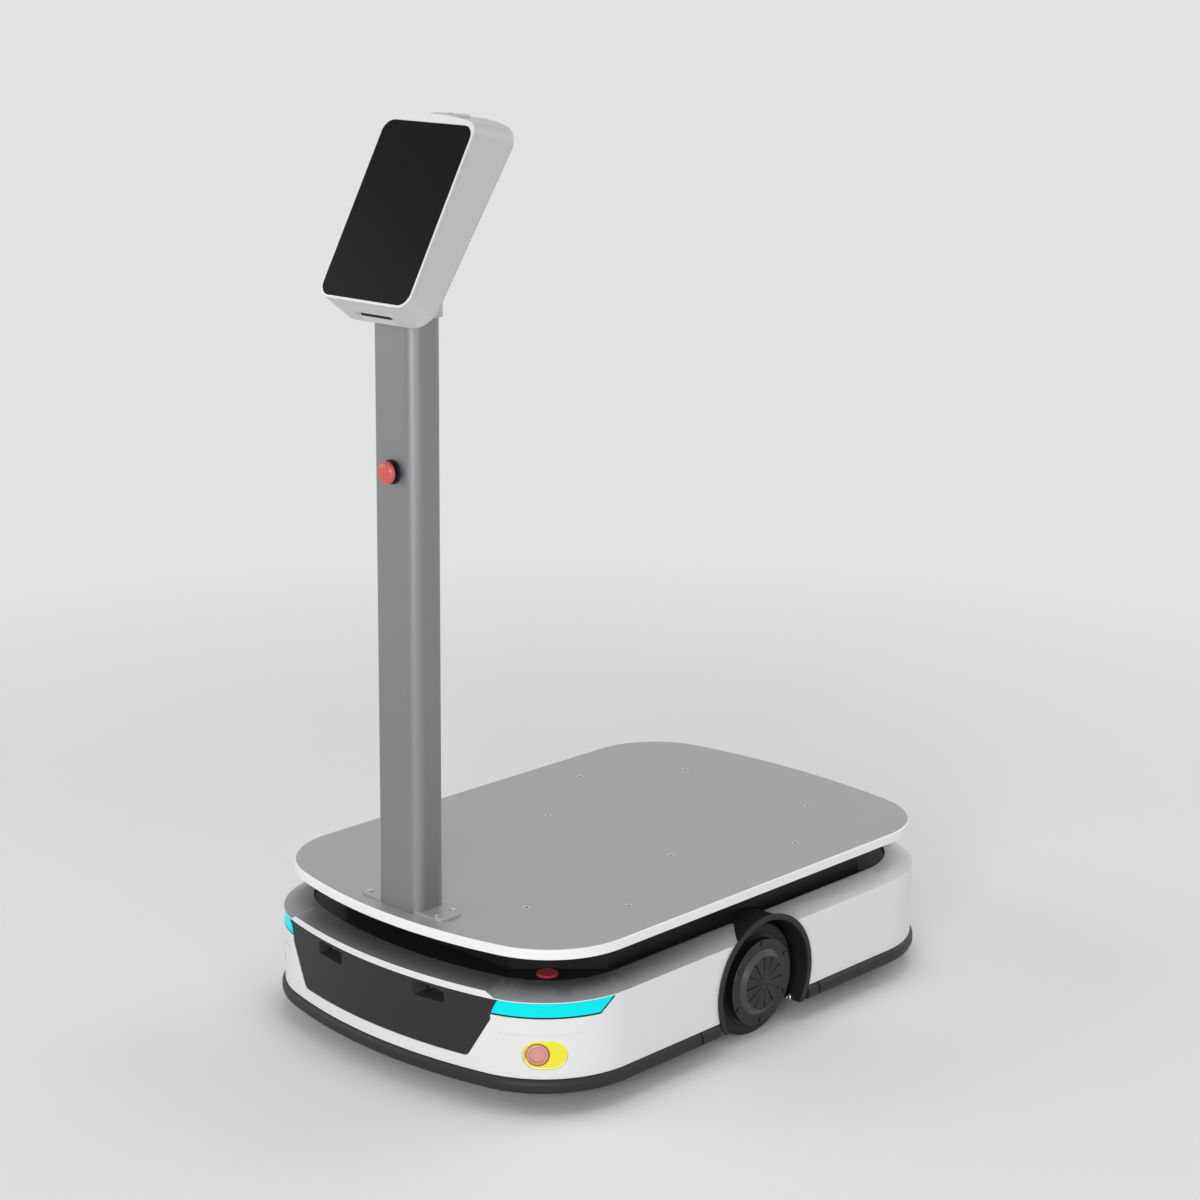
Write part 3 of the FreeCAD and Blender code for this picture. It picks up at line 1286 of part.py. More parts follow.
def make_caster(word, x, y):
    """One caster: a fork on a stem, and its wheel behind the stem."""
    radius, half = S.caster_radius, S.caster_wide / 2
    ceiling = S.well_top - S.well_skin - S.slip_gap
    crown_low = ceiling - S.fork_crown_tall
    crown = cylinder(f"fork_{word}_crown", S.fork_crown, S.fork_crown_tall, (x, y, crown_low))
    stem = cylinder(f"fork_{word}_stem", S.stem_radius, S.well_skin + 8, (x, y, ceiling - 0.5))
    keeper = cylinder(f"fork_{word}_keeper", S.stem_radius + 4, 3, (x, y, S.well_top + S.slip_gap))
    trail = y + S.caster_trail
    legs = []
    for name, sign in (("right", 1), ("left", -1)):
        near = half + 1
        low_x = x + near if sign > 0 else x - near - S.fork_leg
        face = sketch_on(f"fork_{word}_{name}_face", "YZ", (low_x, 0, 0))
        reach = S.caster_axle + 5
        polygon(face, [(y - 14, crown_low + 1), (trail - reach, radius), (trail - reach * 0.7, radius - reach * 0.7),
                       (trail, radius - reach), (trail + reach * 0.7, radius - reach * 0.7),
                       (trail + reach, radius), (y + 18, crown_low + 1)])
        legs.append(extruded(f"fork_{word}_{name}", face, S.fork_leg))
    pin = cylinder(f"fork_{word}_pin", S.caster_axle, S.caster_wide + 2 + S.fork_leg,
                   (x - half - 1 - S.fork_leg / 2, trail, radius), "X")
    piece(f"caster_fork_{word}", fuse(f"caster_fork_{word}", crown, stem, keeper, pin, *legs))
    sketch = sketch_on(f"caster_{word}_half", "XZ", (x, trail, radius))
    bore = S.caster_axle + S.run_gap
    polygon(sketch, [(-half, bore), (half, bore), (half, radius - 4), (half - 3, radius - 1), (half - 6, radius),
                     (6 - half, radius), (3 - half, radius - 1), (-half, radius - 4)])
    piece(f"caster_wheel_{word}", turned(f"caster_wheel_{word}", sketch, Vector(1, 0, 0), (x, trail, radius)))


# ---------------------------------------------------------------- base pan and inner pieces

def make_pan():
    """The base pan: a flange that carries the shells, a lower tub and the caster wells."""
    floor, skin = S.wall_low, S.pan_skin
    flange = wall_prism("pan_flange", -(S.shell_skin + S.seat_gap), floor, floor + skin)
    tub = wall_prism("pan_tub", -S.pan_step, S.pan_low, floor + 1)
    room = wall_prism("pan_room", -(S.pan_step + skin), S.pan_low + skin, floor)
    wells, caves = [], []
    for word, x, y in caster_places():
        wells.append(cylinder(f"pan_well_{word}", S.well_radius, S.well_top - S.pan_low, (x, y, S.pan_low)))
        caves.append(cylinder(f"pan_cave_{word}", S.well_radius - S.well_skin,
                              S.well_top - S.well_skin - S.pan_low + 5, (x, y, S.pan_low - 5)))
        caves.append(cylinder(f"pan_stem_{word}", S.stem_radius + S.run_gap, 40, (x, y, S.well_top - 20)))
    arches = arch_cutters("pan_arch", S.arch_radius, S.pan_low - 5)
    shell = cut("pan_shell", fuse("pan_hull", flange, tub), room)
    piece("base_pan", cut("base_pan", fuse("pan_solid", shell, *wells), *caves, *arches))
    top = floor + skin
    posts = []
    half = S.post_wide / 2
    under = S.tray_top - S.tray_thick
    for number, (side, way) in enumerate(((1, 1), (1, -1), (-1, 1), (-1, -1))):
        x, y = S.post_out * side, S.post_along * way
        posts.append(box(f"post_{number}", (x - half, y - half, top), (x + half, y + half, under)))
    rails = [box(f"rail_{word}", (S.post_out * side - half, -S.post_along, under - 20),
                 (S.post_out * side + half, S.post_along, under)) for side, word in ((1, "right"), (-1, "left"))]
    piece("inner_frame", group("inner_frame", fuse("frame_right", posts[0], posts[1], rails[0]),
                               fuse("frame_left", posts[2], posts[3], rails[1])))
    wide, far = S.battery_wide / 2, S.battery_long / 2
    piece("battery_pack", box("battery_pack", (-wide, -far, top), (wide, far, top + S.battery_tall)))
    wide = S.brain_wide / 2
    piece("control_unit", box("control_unit", (-wide, S.brain_back, top),
                              (wide, S.brain_back + S.brain_long, top + S.brain_tall)))
    contacts = [contact_block(f"contact_{number}", z, as_size(0), S.contact_proud)
                for number, z in enumerate(contact_heights())]
    piece("charge_contacts", group("charge_contacts", *contacts))


# ---------------------------------------------------------------- bumpers and skirts

def make_bumpers():
    """Floating bumpers front and rear, and the fixed skirts between them and the wheels."""
    top = S.wall_low - S.slip_gap
    outer = wall_prism("bumper_outer", S.bumper_proud, S.bumper_low, top)
    soft = rounded_edges("bumper_soft", outer, S.bumper_round, lambda edge: True)
    inner = wall_prism("bumper_inner", -(S.bumper_deep - S.bumper_proud), S.bumper_low - 1, top + 1)
    arches = arch_cutters("bumper_arch", S.arch_radius + S.slip_gap, S.bumper_low - 5)
    ring = cut("bumper_ring", soft, inner, *arches)
    wide = WHEEL_REACH
    gap = S.bumper_travel + S.slip_gap
    spans = (("front_bumper", -BEYOND, S.bumper_front_end), ("rear_bumper", S.bumper_rear_end, BEYOND))
    for label, low, high in spans:
        piece(label, common(label, ring, box(label + "_span", (-wide, low, 0), (wide, high, S.wall_low))))
    for label, near, far in (("skirt_right", 0, wide), ("skirt_left", -wide, 0)):
        span = box(label + "_span", (near, S.bumper_front_end + gap, 0),
                   (far, S.bumper_rear_end - gap, S.wall_low))
        piece(label, common(label, ring, span))


for make in (make_shells, make_front_panel, make_lights, make_corner_buttons, make_deck,
             make_load_plate, make_column, make_head, make_stop, make_wheels, make_arches,
             make_arms, make_casters, make_pan, make_bumpers):
    make()
doc.recompute()

faults = [f"{thing.Name}: {thing.State}" for thing in doc.Objects
          if "Invalid" in thing.State or "Error" in thing.State]
for thing in PIECES:
    if thing.Shape.isNull() or not thing.Shape.isValid():
        faults.append(f"{thing.Label}: no valid shape")
if faults:
    raise RuntimeError("; ".join(faults))
for thing in PIECES:
    thing.Shape.exportStep(f"parts/{thing.Label}.step")
    print(f"{thing.Label}: {len(thing.Shape.Solids)} solid(s), {thing.Shape.Volume / 1000:.1f} cm3")
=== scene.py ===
"""Looks of an autonomous mobile robot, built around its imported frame.

The robot stands on the floor at z = 0 and drives towards -Y. All lengths are metres.
"""
import json
import logging
import math
from collections.abc import Callable, Iterable
from dataclasses import dataclass, field
from enum import Enum

import bmesh
import bpy
from mathutils import Matrix, Vector

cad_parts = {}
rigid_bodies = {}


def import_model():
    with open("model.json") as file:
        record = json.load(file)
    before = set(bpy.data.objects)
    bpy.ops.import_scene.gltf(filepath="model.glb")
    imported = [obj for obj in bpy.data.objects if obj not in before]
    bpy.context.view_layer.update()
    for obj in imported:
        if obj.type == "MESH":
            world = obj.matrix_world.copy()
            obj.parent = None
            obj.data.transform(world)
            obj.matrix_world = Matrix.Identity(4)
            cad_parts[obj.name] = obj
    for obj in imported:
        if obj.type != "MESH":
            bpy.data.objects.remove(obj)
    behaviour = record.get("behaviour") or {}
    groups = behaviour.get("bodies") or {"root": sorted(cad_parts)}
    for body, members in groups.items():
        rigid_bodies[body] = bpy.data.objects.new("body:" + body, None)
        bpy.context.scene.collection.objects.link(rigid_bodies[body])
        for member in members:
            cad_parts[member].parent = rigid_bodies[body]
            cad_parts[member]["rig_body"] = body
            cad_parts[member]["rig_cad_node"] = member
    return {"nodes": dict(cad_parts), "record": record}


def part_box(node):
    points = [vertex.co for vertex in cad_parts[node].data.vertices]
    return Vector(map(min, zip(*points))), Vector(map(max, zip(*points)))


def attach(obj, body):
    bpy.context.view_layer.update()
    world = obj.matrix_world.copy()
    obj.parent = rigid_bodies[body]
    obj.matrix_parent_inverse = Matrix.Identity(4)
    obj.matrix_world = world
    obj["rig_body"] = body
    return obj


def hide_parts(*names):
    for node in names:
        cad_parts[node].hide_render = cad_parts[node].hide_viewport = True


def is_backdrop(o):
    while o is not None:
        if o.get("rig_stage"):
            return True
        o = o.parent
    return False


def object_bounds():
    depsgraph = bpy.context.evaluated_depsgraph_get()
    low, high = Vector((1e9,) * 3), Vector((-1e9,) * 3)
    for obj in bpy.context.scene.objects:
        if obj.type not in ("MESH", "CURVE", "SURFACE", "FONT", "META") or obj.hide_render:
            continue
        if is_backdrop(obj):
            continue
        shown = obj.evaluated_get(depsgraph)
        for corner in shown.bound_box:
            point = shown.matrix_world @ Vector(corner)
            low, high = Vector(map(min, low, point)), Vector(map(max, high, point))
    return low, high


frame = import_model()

CAD_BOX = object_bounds()
MM = 0.001
SHARP_ANGLE = 32.0  # degrees: sharper edges are rounded
CRISP_ANGLE = 35.0  # degrees: sharper edges are shaded crisp
GREY = (0.5, 0.5, 0.5, 1.0)
log = logging.getLogger("robot")

Colour = tuple[float, float, float]
Point = tuple[float, float, float]
Steps = tuple[tuple[float, float], ...]
Piece = bpy.types.Object
Face = bmesh.types.BMFace
FaceTest = Callable[[Face], bool]
Material = bpy.types.Material
Tree = bpy.types.NodeTree
Node = bpy.types.Node
Socket = bpy.types.NodeSocket
Inputs = dict[str | int, object]


class Side(Enum):
    """A side of the robot, with its sign along X."""

    RIGHT = 1
    LEFT = -1

    @property
    def word(self) -> str:
        """The side's word in node names."""
        return self.name.lower()


class Grain(Enum):
    """How a surface's fine grain runs."""

    EVEN = (1.0, 1.0, 1.0)
    ALONG_Y = (1.0, 0.03, 1.0)
    ALONG_Z = (1.0, 1.0, 0.02)
    ACROSS_X = (0.03, 1.0, 1.0)


def tone(*levels: int) -> Colour:
    """Linear colour of a display colour.

    Args:
        levels: Its red, green and blue, 0 to 255.

    Returns:
        The colour that a shader takes.
    """
    shares = (level / 255 for level in levels)
    return tuple(share / 12.92 if share <= 0.04045 else ((share + 0.055) / 1.055) ** 2.4
                 for share in shares)


def grey(level: int) -> Colour:
    """Linear colour of a cool grey."""
    return tone(level, level, level + 2)


# ---- modelling by hand


def deselect_all() -> None:
    """Leave nothing selected."""
    for item in bpy.context.selected_objects:
        item.select_set(False)


def activate(thing: Piece) -> None:
    """Select one object and make it the active one."""
    deselect_all()
    thing.select_set(True)
    bpy.context.view_layer.objects.active = thing


def edit(thing: Piece) -> None:
    """Enter edit mode with nothing selected."""
    activate(thing)
    bpy.ops.object.mode_set(mode="EDIT")
    bpy.ops.mesh.select_mode(type="FACE")
    bpy.ops.mesh.select_all(action="DESELECT")


def pick_faces(thing: Piece, test: FaceTest) -> None:
    """Select the faces that pass a test, in edit mode.

    Args:
        thing: The object in edit mode.
        test: Says whether a face is wanted.
    """
    mesh = bmesh.from_edit_mesh(thing.data)
    for face in mesh.faces:
        face.select = test(face)
    mesh.select_flush_mode()
    bmesh.update_edit_mesh(thing.data)


def leave_edit() -> None:
    """Return to object mode."""
    bpy.ops.object.mode_set(mode="OBJECT")


def press(thing: Piece, test: FaceTest, steps: Steps, **options: bool) -> None:
    """Inset the faces that pass a test, one step after another.

    Args:
        thing: The object.
        test: Says whether a face is wanted.
        steps: The width and the rise of each inset.
        options: The inset's other settings.
    """
    edit(thing)
    pick_faces(thing, test)
    for wide, rise in steps:
        bpy.ops.mesh.inset(thickness=wide, depth=rise, **options)
    leave_edit()


def shade(thing: Piece, angle: float = CRISP_ANGLE) -> None:
    """Shade an object smooth, with edges sharper than an angle in degrees kept crisp."""
    activate(thing)
    bpy.ops.object.shade_smooth_by_angle(angle=math.radians(angle))


def settle(thing: Piece, angle: float = CRISP_ANGLE) -> None:
    """Apply an object's place to its mesh, face it outwards and shade it smooth.

    Args:
        thing: The object.
        angle: Edges sharper than this many degrees stay crisp.
    """
    activate(thing)
    bpy.ops.object.transform_apply(location=True, rotation=True, scale=True)
    edit(thing)
    bpy.ops.mesh.select_all(action="SELECT")
    bpy.ops.mesh.remove_doubles(threshold=0.005 * MM)
    bpy.ops.mesh.normals_make_consistent(inside=False)
    leave_edit()
    shade(thing, angle)


def apply_modifiers(thing: Piece) -> None:
    """Apply every modifier in order."""
    activate(thing)
    for modifier in list(thing.modifiers):
        bpy.ops.object.modifier_apply(modifier=modifier.name)


def soften(thing: Piece, width: float, segments: int = 2, angle: float = SHARP_ANGLE) -> None:
    """Round an object's sharp edges and even out its shading.

    Args:
        thing: The object.
        width: The rounding's width.
        segments: How many faces make the rounding.
        angle: Only edges sharper than this many degrees are rounded.
    """
    bevel = thing.modifiers.new("soft_edges", "BEVEL")
    bevel.width = width
    bevel.segments = segments
    bevel.limit_method = "ANGLE"
    bevel.angle_limit = math.radians(angle)
    bevel.miter_outer = "MITER_ARC"
    evened = thing.modifiers.new("even_shading", "WEIGHTED_NORMAL")
    evened.keep_sharp = True
    apply_modifiers(thing)


def named(name: str, size: Point | None = None) -> Piece:
    """Name the object that was just added.

    Args:
        name: Its name.
        size: Its three side lengths, if it was added one metre wide to be stretched.

    Returns:
        The object.
    """
    thing = bpy.context.active_object
    thing.name = name
    thing.data.name = name
    if size:
        thing.scale = size
        bpy.ops.object.transform_apply(location=False, rotation=False, scale=True)
    return thing


def add_tube(name: str, radius: float, depth: float, at: Point, sides: int = 48,
             turn: Point = (0.0, 0.0, 0.0)) -> Piece:
    """Add a cylinder to shape further.

    Args:
        name: The object's name.
        radius: Its radius.
        depth: Its length.
        at: Its middle.
        sides: How many sides it has.
        turn: Its rotation.

    Returns:
        The cylinder.
    """
    deselect_all()
    bpy.ops.mesh.primitive_cylinder_add(vertices=sides, radius=radius, depth=depth, location=at,
                                        rotation=turn)
    return named(name)


def merged_copy(node: str) -> Piece:
    """Copy a CAD node and merge its triangles.

    Args:
        node: The CAD node's name.

    Returns:
        The copy, which stands for the node.
    """
    source = frame["nodes"][node]
    source.hide_set(False)
    activate(source)
    bpy.ops.object.duplicate(linked=False)
    copy = named(f"{node}_finished")
    copy.parent = None
    copy.matrix_world = Matrix.Identity(4)
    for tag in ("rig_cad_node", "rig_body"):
        if tag in copy:
            del copy[tag]
    copy.data.materials.clear()
    edit(copy)
    bpy.ops.mesh.customdata_custom_splitnormals_clear()
    bpy.ops.mesh.select_all(action="SELECT")
    bpy.ops.mesh.remove_doubles(threshold=0.01 * MM)
    bpy.ops.mesh.dissolve_limited(angle_limit=math.radians(0.3))
    leave_edit()
    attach(copy, body_of(node))
    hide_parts(node)
    slot_of(node)
    return copy


def body_of(node: str) -> str:
    """The CAD body that a node belongs to."""
    bodies = frame["record"]["behaviour"]["bodies"]
    return next(body for body, nodes in bodies.items() if node in nodes)


def slot_of(node: str) -> str:
    """The record's material slot of a node."""
    return next(row["material_slot"] for row in frame["record"]["subparts"] if row["node"] == node)


def middle(node: str) -> Vector:
    """The middle of a CAD node's box."""
    low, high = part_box(node)
    return (low + high) / 2


def dress(thing: Piece, material: Material) -> None:
    """Give an object one material all over."""
    if not thing.data.materials:
        thing.data.materials.append(material)
    for index in range(len(thing.data.materials)):
        thing.data.materials[index] = material


def assign_picked(thing: Piece, material: Material) -> None:
    """Give the faces picked in edit mode a material of their own."""
    thing.data.materials.append(material)
    thing.active_material_index = len(thing.data.materials) - 1
    bpy.ops.object.material_slot_assign()


def faces_along(way: Vector, least: float, most: float = 1.01) -> FaceTest:
    """A test for faces whose normal has a cosine to a direction between two limits."""
    return lambda face: least < face.normal.dot(way) < most


END_FACE = faces_along(Vector((0, 0, 1)), 0.9)  # the upper end of a tube, in its own frame


def add_button_bolt(name: str, at: Point, aim: Point, radius: float, tall: float) -> Piece:
    """Add a button-head bolt: a domed head with a round socket.

    Args:
        name: The object's name.
        at: The middle of its head.
        aim: The way its head looks.
        radius: The head's radius.
        tall: The head's height.

    Returns:
        The bolt.
    """
    turn = Vector(aim).to_track_quat("Z", "Y").to_euler()
    head = add_tube(name, radius, tall, at, sides=36, turn=tuple(turn))
    dome = ((0.22, 0.22), (0.24, 0.08))
    socket = (0.04, -0.5)
    press(head, END_FACE, tuple((radius * wide, tall * rise) for wide, rise in (*dome, socket)))
    settle(head)
    soften(head, radius * 0.05)
    return head


# ---- shader node groups


class Wiring:
    """The nodes and links of one shader tree."""

    def __init__(self, tree: Tree) -> None:
        """Work on a tree."""
        self.tree = tree

    def feed(self, socket: Socket, value: object) -> None:
        """Give an input what it needs.

        Args:
            socket: The input.
            value: Another socket to join to it, or a plain value.
        """
        if isinstance(value, Socket):
            self.tree.links.new(value, socket)
        else:
            socket.default_value = value

    def feed_all(self, node: Node, inputs: Inputs) -> None:
        """Feed several inputs of a node, each by its name or number."""
        for key, value in inputs.items():
            self.feed(node.inputs[key], value)

    def node(self, kind: str, inputs: Inputs | None = None, **settings: object) -> Node:
        """Add a shader node.

        Args:
            kind: The node's kind.
            inputs: What its inputs are fed.
            settings: Its own settings, which are made first.

        Returns:
            The node.
        """
        made = self.tree.nodes.new(f"ShaderNode{kind}")
        for key, value in settings.items():
            setattr(made, key, value)
        self.feed_all(made, inputs or {})
        return made

    def maths(self, operation: str, first: object, second: object) -> Socket:
        """The result of a maths node between two sockets or numbers."""
        return self.node("Math", {0: first, 1: second}, operation=operation).outputs[0]

    def product(self, *factors: object) -> Socket:
        """Multiply in order.

        Args:
            factors: Sockets or numbers, the first of them a socket.

        Returns:
            The product's socket.
        """
        total = factors[0]
        for factor in factors[1:]:
            total = self.maths("MULTIPLY", total, factor)
        return total

    def ramp(self, value: Socket, low: object, high: object, start: float = 0.0,
             end: float = 1.0) -> Socket:
        """A smooth step that follows a value: start up to low, end from high on."""
        span = {"Value": value, "From Min": low, "From Max": high, "To Min": start, "To Max": end}
        return self.node("MapRange", span, interpolation_type="SMOOTHSTEP").outputs["Result"]

    def place(self) -> Socket:
        """The place on the object."""
        return self.node("TexCoord").outputs["Object"]

    def normal(self) -> Socket:
        """The way the surface looks."""
        return self.node("NewGeometry").outputs["Normal"]

    def parts(self, vector: Socket) -> bpy.types.NodeOutputs:
        """The X, Y and Z of a vector."""
        return self.node("SeparateXYZ", {0: vector}).outputs

    def noise(self, scale: object, detail: float, place: Socket | None = None) -> Socket:
        """Noise of a scale and detail, on the object's own place unless another is given."""
        inputs = {"Vector": place or self.place(), "Scale": scale, "Detail": detail}
        return self.node("TexNoise", inputs).outputs["Fac"]

    def blend(self, mask: Socket, first: object, second: object) -> Socket:
        """A colour that goes from the first to the second with a mask."""
        return self.node("Mix", {"Factor": mask, 6: first, 7: second}, data_type="RGBA").outputs[2]

    def seen_rays(self) -> Socket:
        """A mask of the rays that show the even backdrop."""
        path = self.node("LightPath").outputs
        seen = self.maths("MAXIMUM", path["Is Camera Ray"], path["Is Glossy Ray"])
        return self.maths("MAXIMUM", seen, path["Is Transmission Ray"])

    def show(self, output: str, mask: Socket, first: Node, second: Node) -> None:
        """Send two mixed shaders to an output.

        Args:
            output: The output node's name.
            mask: How much of the second shader shows.
            first: The first shader.
            second: The second shader.
        """
        shaders = {0: mask, 1: first.outputs[0], 2: second.outputs[0]}
        mixed = self.node("MixShader", shaders)
        self.feed(self.tree.nodes[output].inputs["Surface"], mixed.outputs[0])


class NodeGroup(Wiring):
    """A shader node group that several finishes share."""

    def __init__(self, name: str, **takes: object) -> None:
        """Start a group.

        Args:
            name: The group's name.
            takes: Its inputs, each with its default: a number, a vector or a colour.
        """
        super().__init__(bpy.data.node_groups.new(name, "ShaderNodeTree"))
        entry = self.tree.nodes.new("NodeGroupInput")
        for label, default in takes.items():
            kind = "Float" if isinstance(default, float) else {3: "Vector", 4: "Color"}[len(default)]
            self.add_socket(label, "INPUT", kind).default_value = default
        self.taken = entry.outputs

    def add_socket(self, label: str, way: str, kind: str) -> bpy.types.NodeTreeInterfaceSocket:
        """Add a socket, with spaces in its name for underscores."""
        return self.tree.interface.new_socket(label.replace("_", " "), in_out=way,
                                              socket_type=f"NodeSocket{kind}")

    def give(self, **values: Socket) -> Tree:
        """Close the group.

        Args:
            values: What each output gives, a colour under Colour and a value elsewhere.

        Returns:
            The group's tree.
        """
        leave = self.tree.nodes.new("NodeGroupOutput")
        for label, value in values.items():
            self.add_socket(label, "OUTPUT", "Color" if label == "Colour" else "Float")
            self.feed(leave.inputs[label], value)
        return self.tree


def grain_group() -> Tree:
    """Fine moulded or brushed grain: drifting colour, roughness and height.

    Returns:
        The group.
    """
    group = NodeGroup("surface_grain", Colour=GREY, Drift=0.05, Roughness=0.5, Rough_Drift=0.08,
                      Scale=900.0, Stretch=(1.0, 1.0, 1.0))
    taken = group.taken
    stretch = {0: group.place(), 1: taken["Stretch"]}
    stretched = group.node("VectorMath", stretch, operation="MULTIPLY").outputs[0]
    fine = group.noise(taken["Scale"], 3.0, stretched)
    broad = group.noise(9.0, 4.0)
    both = group.maths("ADD", group.maths("SUBTRACT", broad, 0.5), group.maths("SUBTRACT", fine, 0.5))
    lift = group.maths("ADD", group.product(both, taken["Drift"]), 1.0)
    colour = group.node("VectorMath", {0: taken["Colour"], "Scale": lift}, operation="SCALE")
    rough = group.maths("ADD", group.product(both, taken["Rough Drift"]), taken["Roughness"])
    return group.give(Colour=colour.outputs[0], Roughness=rough, Height=fine)


def dust_group() -> Tree:
    """A thin film of dust on faces that look up.

    Returns:
        The group.
    """
    group = NodeGroup("settled_dust", Colour=GREY, Roughness=0.5, Amount=0.1,
                      Dust=(0.45, 0.44, 0.42, 1.0))
    taken = group.taken
    upward = group.maths("MAXIMUM", group.parts(group.normal())["Z"], 0.0)
    mask = group.product(upward, group.noise(22.0, 6.0), taken["Amount"])
    return group.give(Colour=group.blend(mask, taken["Colour"], taken["Dust"]),
                      Roughness=group.maths("ADD", taken["Roughness"], mask))


def wear_group() -> Tree:
    """Edges rubbed paler and smoother.

    Returns:
        The group.
    """
    group = NodeGroup("rubbed_edges", Colour=GREY, Roughness=0.5, Worn_Colour=GREY, Amount=0.2)
    taken = group.taken
    rounded = group.node("Bevel", {"Radius": 0.9 * MM}, samples=4).outputs["Normal"]
    bend = group.node("VectorMath", {0: rounded, 1: group.normal()}, operation="DOT_PRODUCT")
    edge = group.product(group.maths("SUBTRACT", 1.0, bend.outputs["Value"]), 6.0)
    mask = group.product(group.maths("MINIMUM", edge, 1.0), group.noise(70.0, 5.0), taken["Amount"])
    return group.give(Colour=group.blend(mask, taken["Colour"], taken["Worn Colour"]),
                      Roughness=group.maths("ADD", taken["Roughness"], group.product(mask, -0.2)))


def smoke_group() -> Tree:
    """Painted shade on the sloping shoulder, where the load plate casts its shadow: deepest in front
    and fading rearwards.

    Low and High are the heights between which the painted shade deepens.

    Returns:
        The group.
    """
    group = NodeGroup("smoked_shoulder", Colour=GREY, Smoke=GREY, Low=0.145,
                      High=0.158)
    taken = group.taken
    at = group.parts(group.place())
    slope = group.ramp(group.parts(group.normal())["Z"], 0.2, 0.5)
    climb = group.ramp(at["Z"], taken["Low"], taken["High"], 0.72, 1.0)
    above = group.ramp(at["Z"], group.maths("SUBTRACT", taken["Low"], 0.002), taken["Low"])
    rearward = group.ramp(at["Y"], -0.34, 0.46, 0.97, 0.08)
    mask = group.product(slope, climb, above, rearward)
    return group.give(Colour=group.blend(mask, taken["Colour"], taken["Smoke"]))


# ---- finishes


@dataclass(frozen=True)
class Finish:
    """A grained surface finish: plastic, rubber, paint or metal."""

    name: str
    colour: Colour
    roughness: float
    metallic: float = 0.0
    coat: float = 0.0
    drift: float = 0.02
    rough_drift: float = 0.06
    scale: float = 1500.0
    grain: Grain = Grain.EVEN
    bump: float = 0.02
    dust: float = 0.0
    specular: float = 0.5
    wear: float = 0.0
    worn: Colour = (0.3, 0.3, 0.31)
    # colour of the painted shadow that the load plate casts on the shell's shoulder
    smoke: Colour | None = None
    glow: Colour | None = None
    glow_strength: float = 0.0

    def build(self, groups: dict[str, Tree]) -> Material:
        """Make the material.

        Args:
            groups: The shared effect groups by name.

        Returns:
            The material.
        """
        material = bpy.data.materials.new(self.name)
        material.use_nodes = True
        wiring = Wiring(material.node_tree)

        def effect(name: str, **values: object) -> bpy.types.NodeOutputs:
            """Place a group and feed it values, with underscores for the spaces in their names."""
            inputs = {key.replace("_", " "): value for key, value in values.items()}
            return wiring.node("Group", inputs, node_tree=groups[name]).outputs

        grained = effect("grain", Colour=(*self.colour, 1.0), Drift=self.drift,
                         Roughness=self.roughness, Rough_Drift=self.rough_drift,
                         Scale=self.scale, Stretch=self.grain.value)
        colour, rough = grained["Colour"], grained["Roughness"]
        # painted shade: the load plate's shadow painted onto the shoulder slopes
        if self.smoke is not None:
            colour = effect("smoke", Colour=colour, Smoke=(*self.smoke, 1.0))["Colour"]
        if self.wear > 0:
            worn = effect("wear", Colour=colour, Roughness=rough, Amount=self.wear,
                          Worn_Colour=(*self.worn, 1.0))
            colour, rough = worn["Colour"], worn["Roughness"]
        if self.dust > 0:
            dusty = effect("dust", Colour=colour, Roughness=rough, Amount=self.dust)
            colour, rough = dusty["Colour"], dusty["Roughness"]
        look = {"Base Color": colour, "Roughness": rough, "Metallic": self.metallic,
                "Specular IOR Level": self.specular, "Coat Weight": self.coat,
                "Coat Roughness": 0.12}
        if self.bump > 0:
            height = {"Strength": self.bump, "Distance": 0.3 * MM, "Height": grained["Height"]}
            look["Normal"] = wiring.node("Bump", height).outputs["Normal"]
        if self.glow is not None:
            look["Emission Color"] = (*self.glow, 1.0)
            look["Emission Strength"] = self.glow_strength
        wiring.feed_all(material.node_tree.nodes["Principled BSDF"], look)
        return material


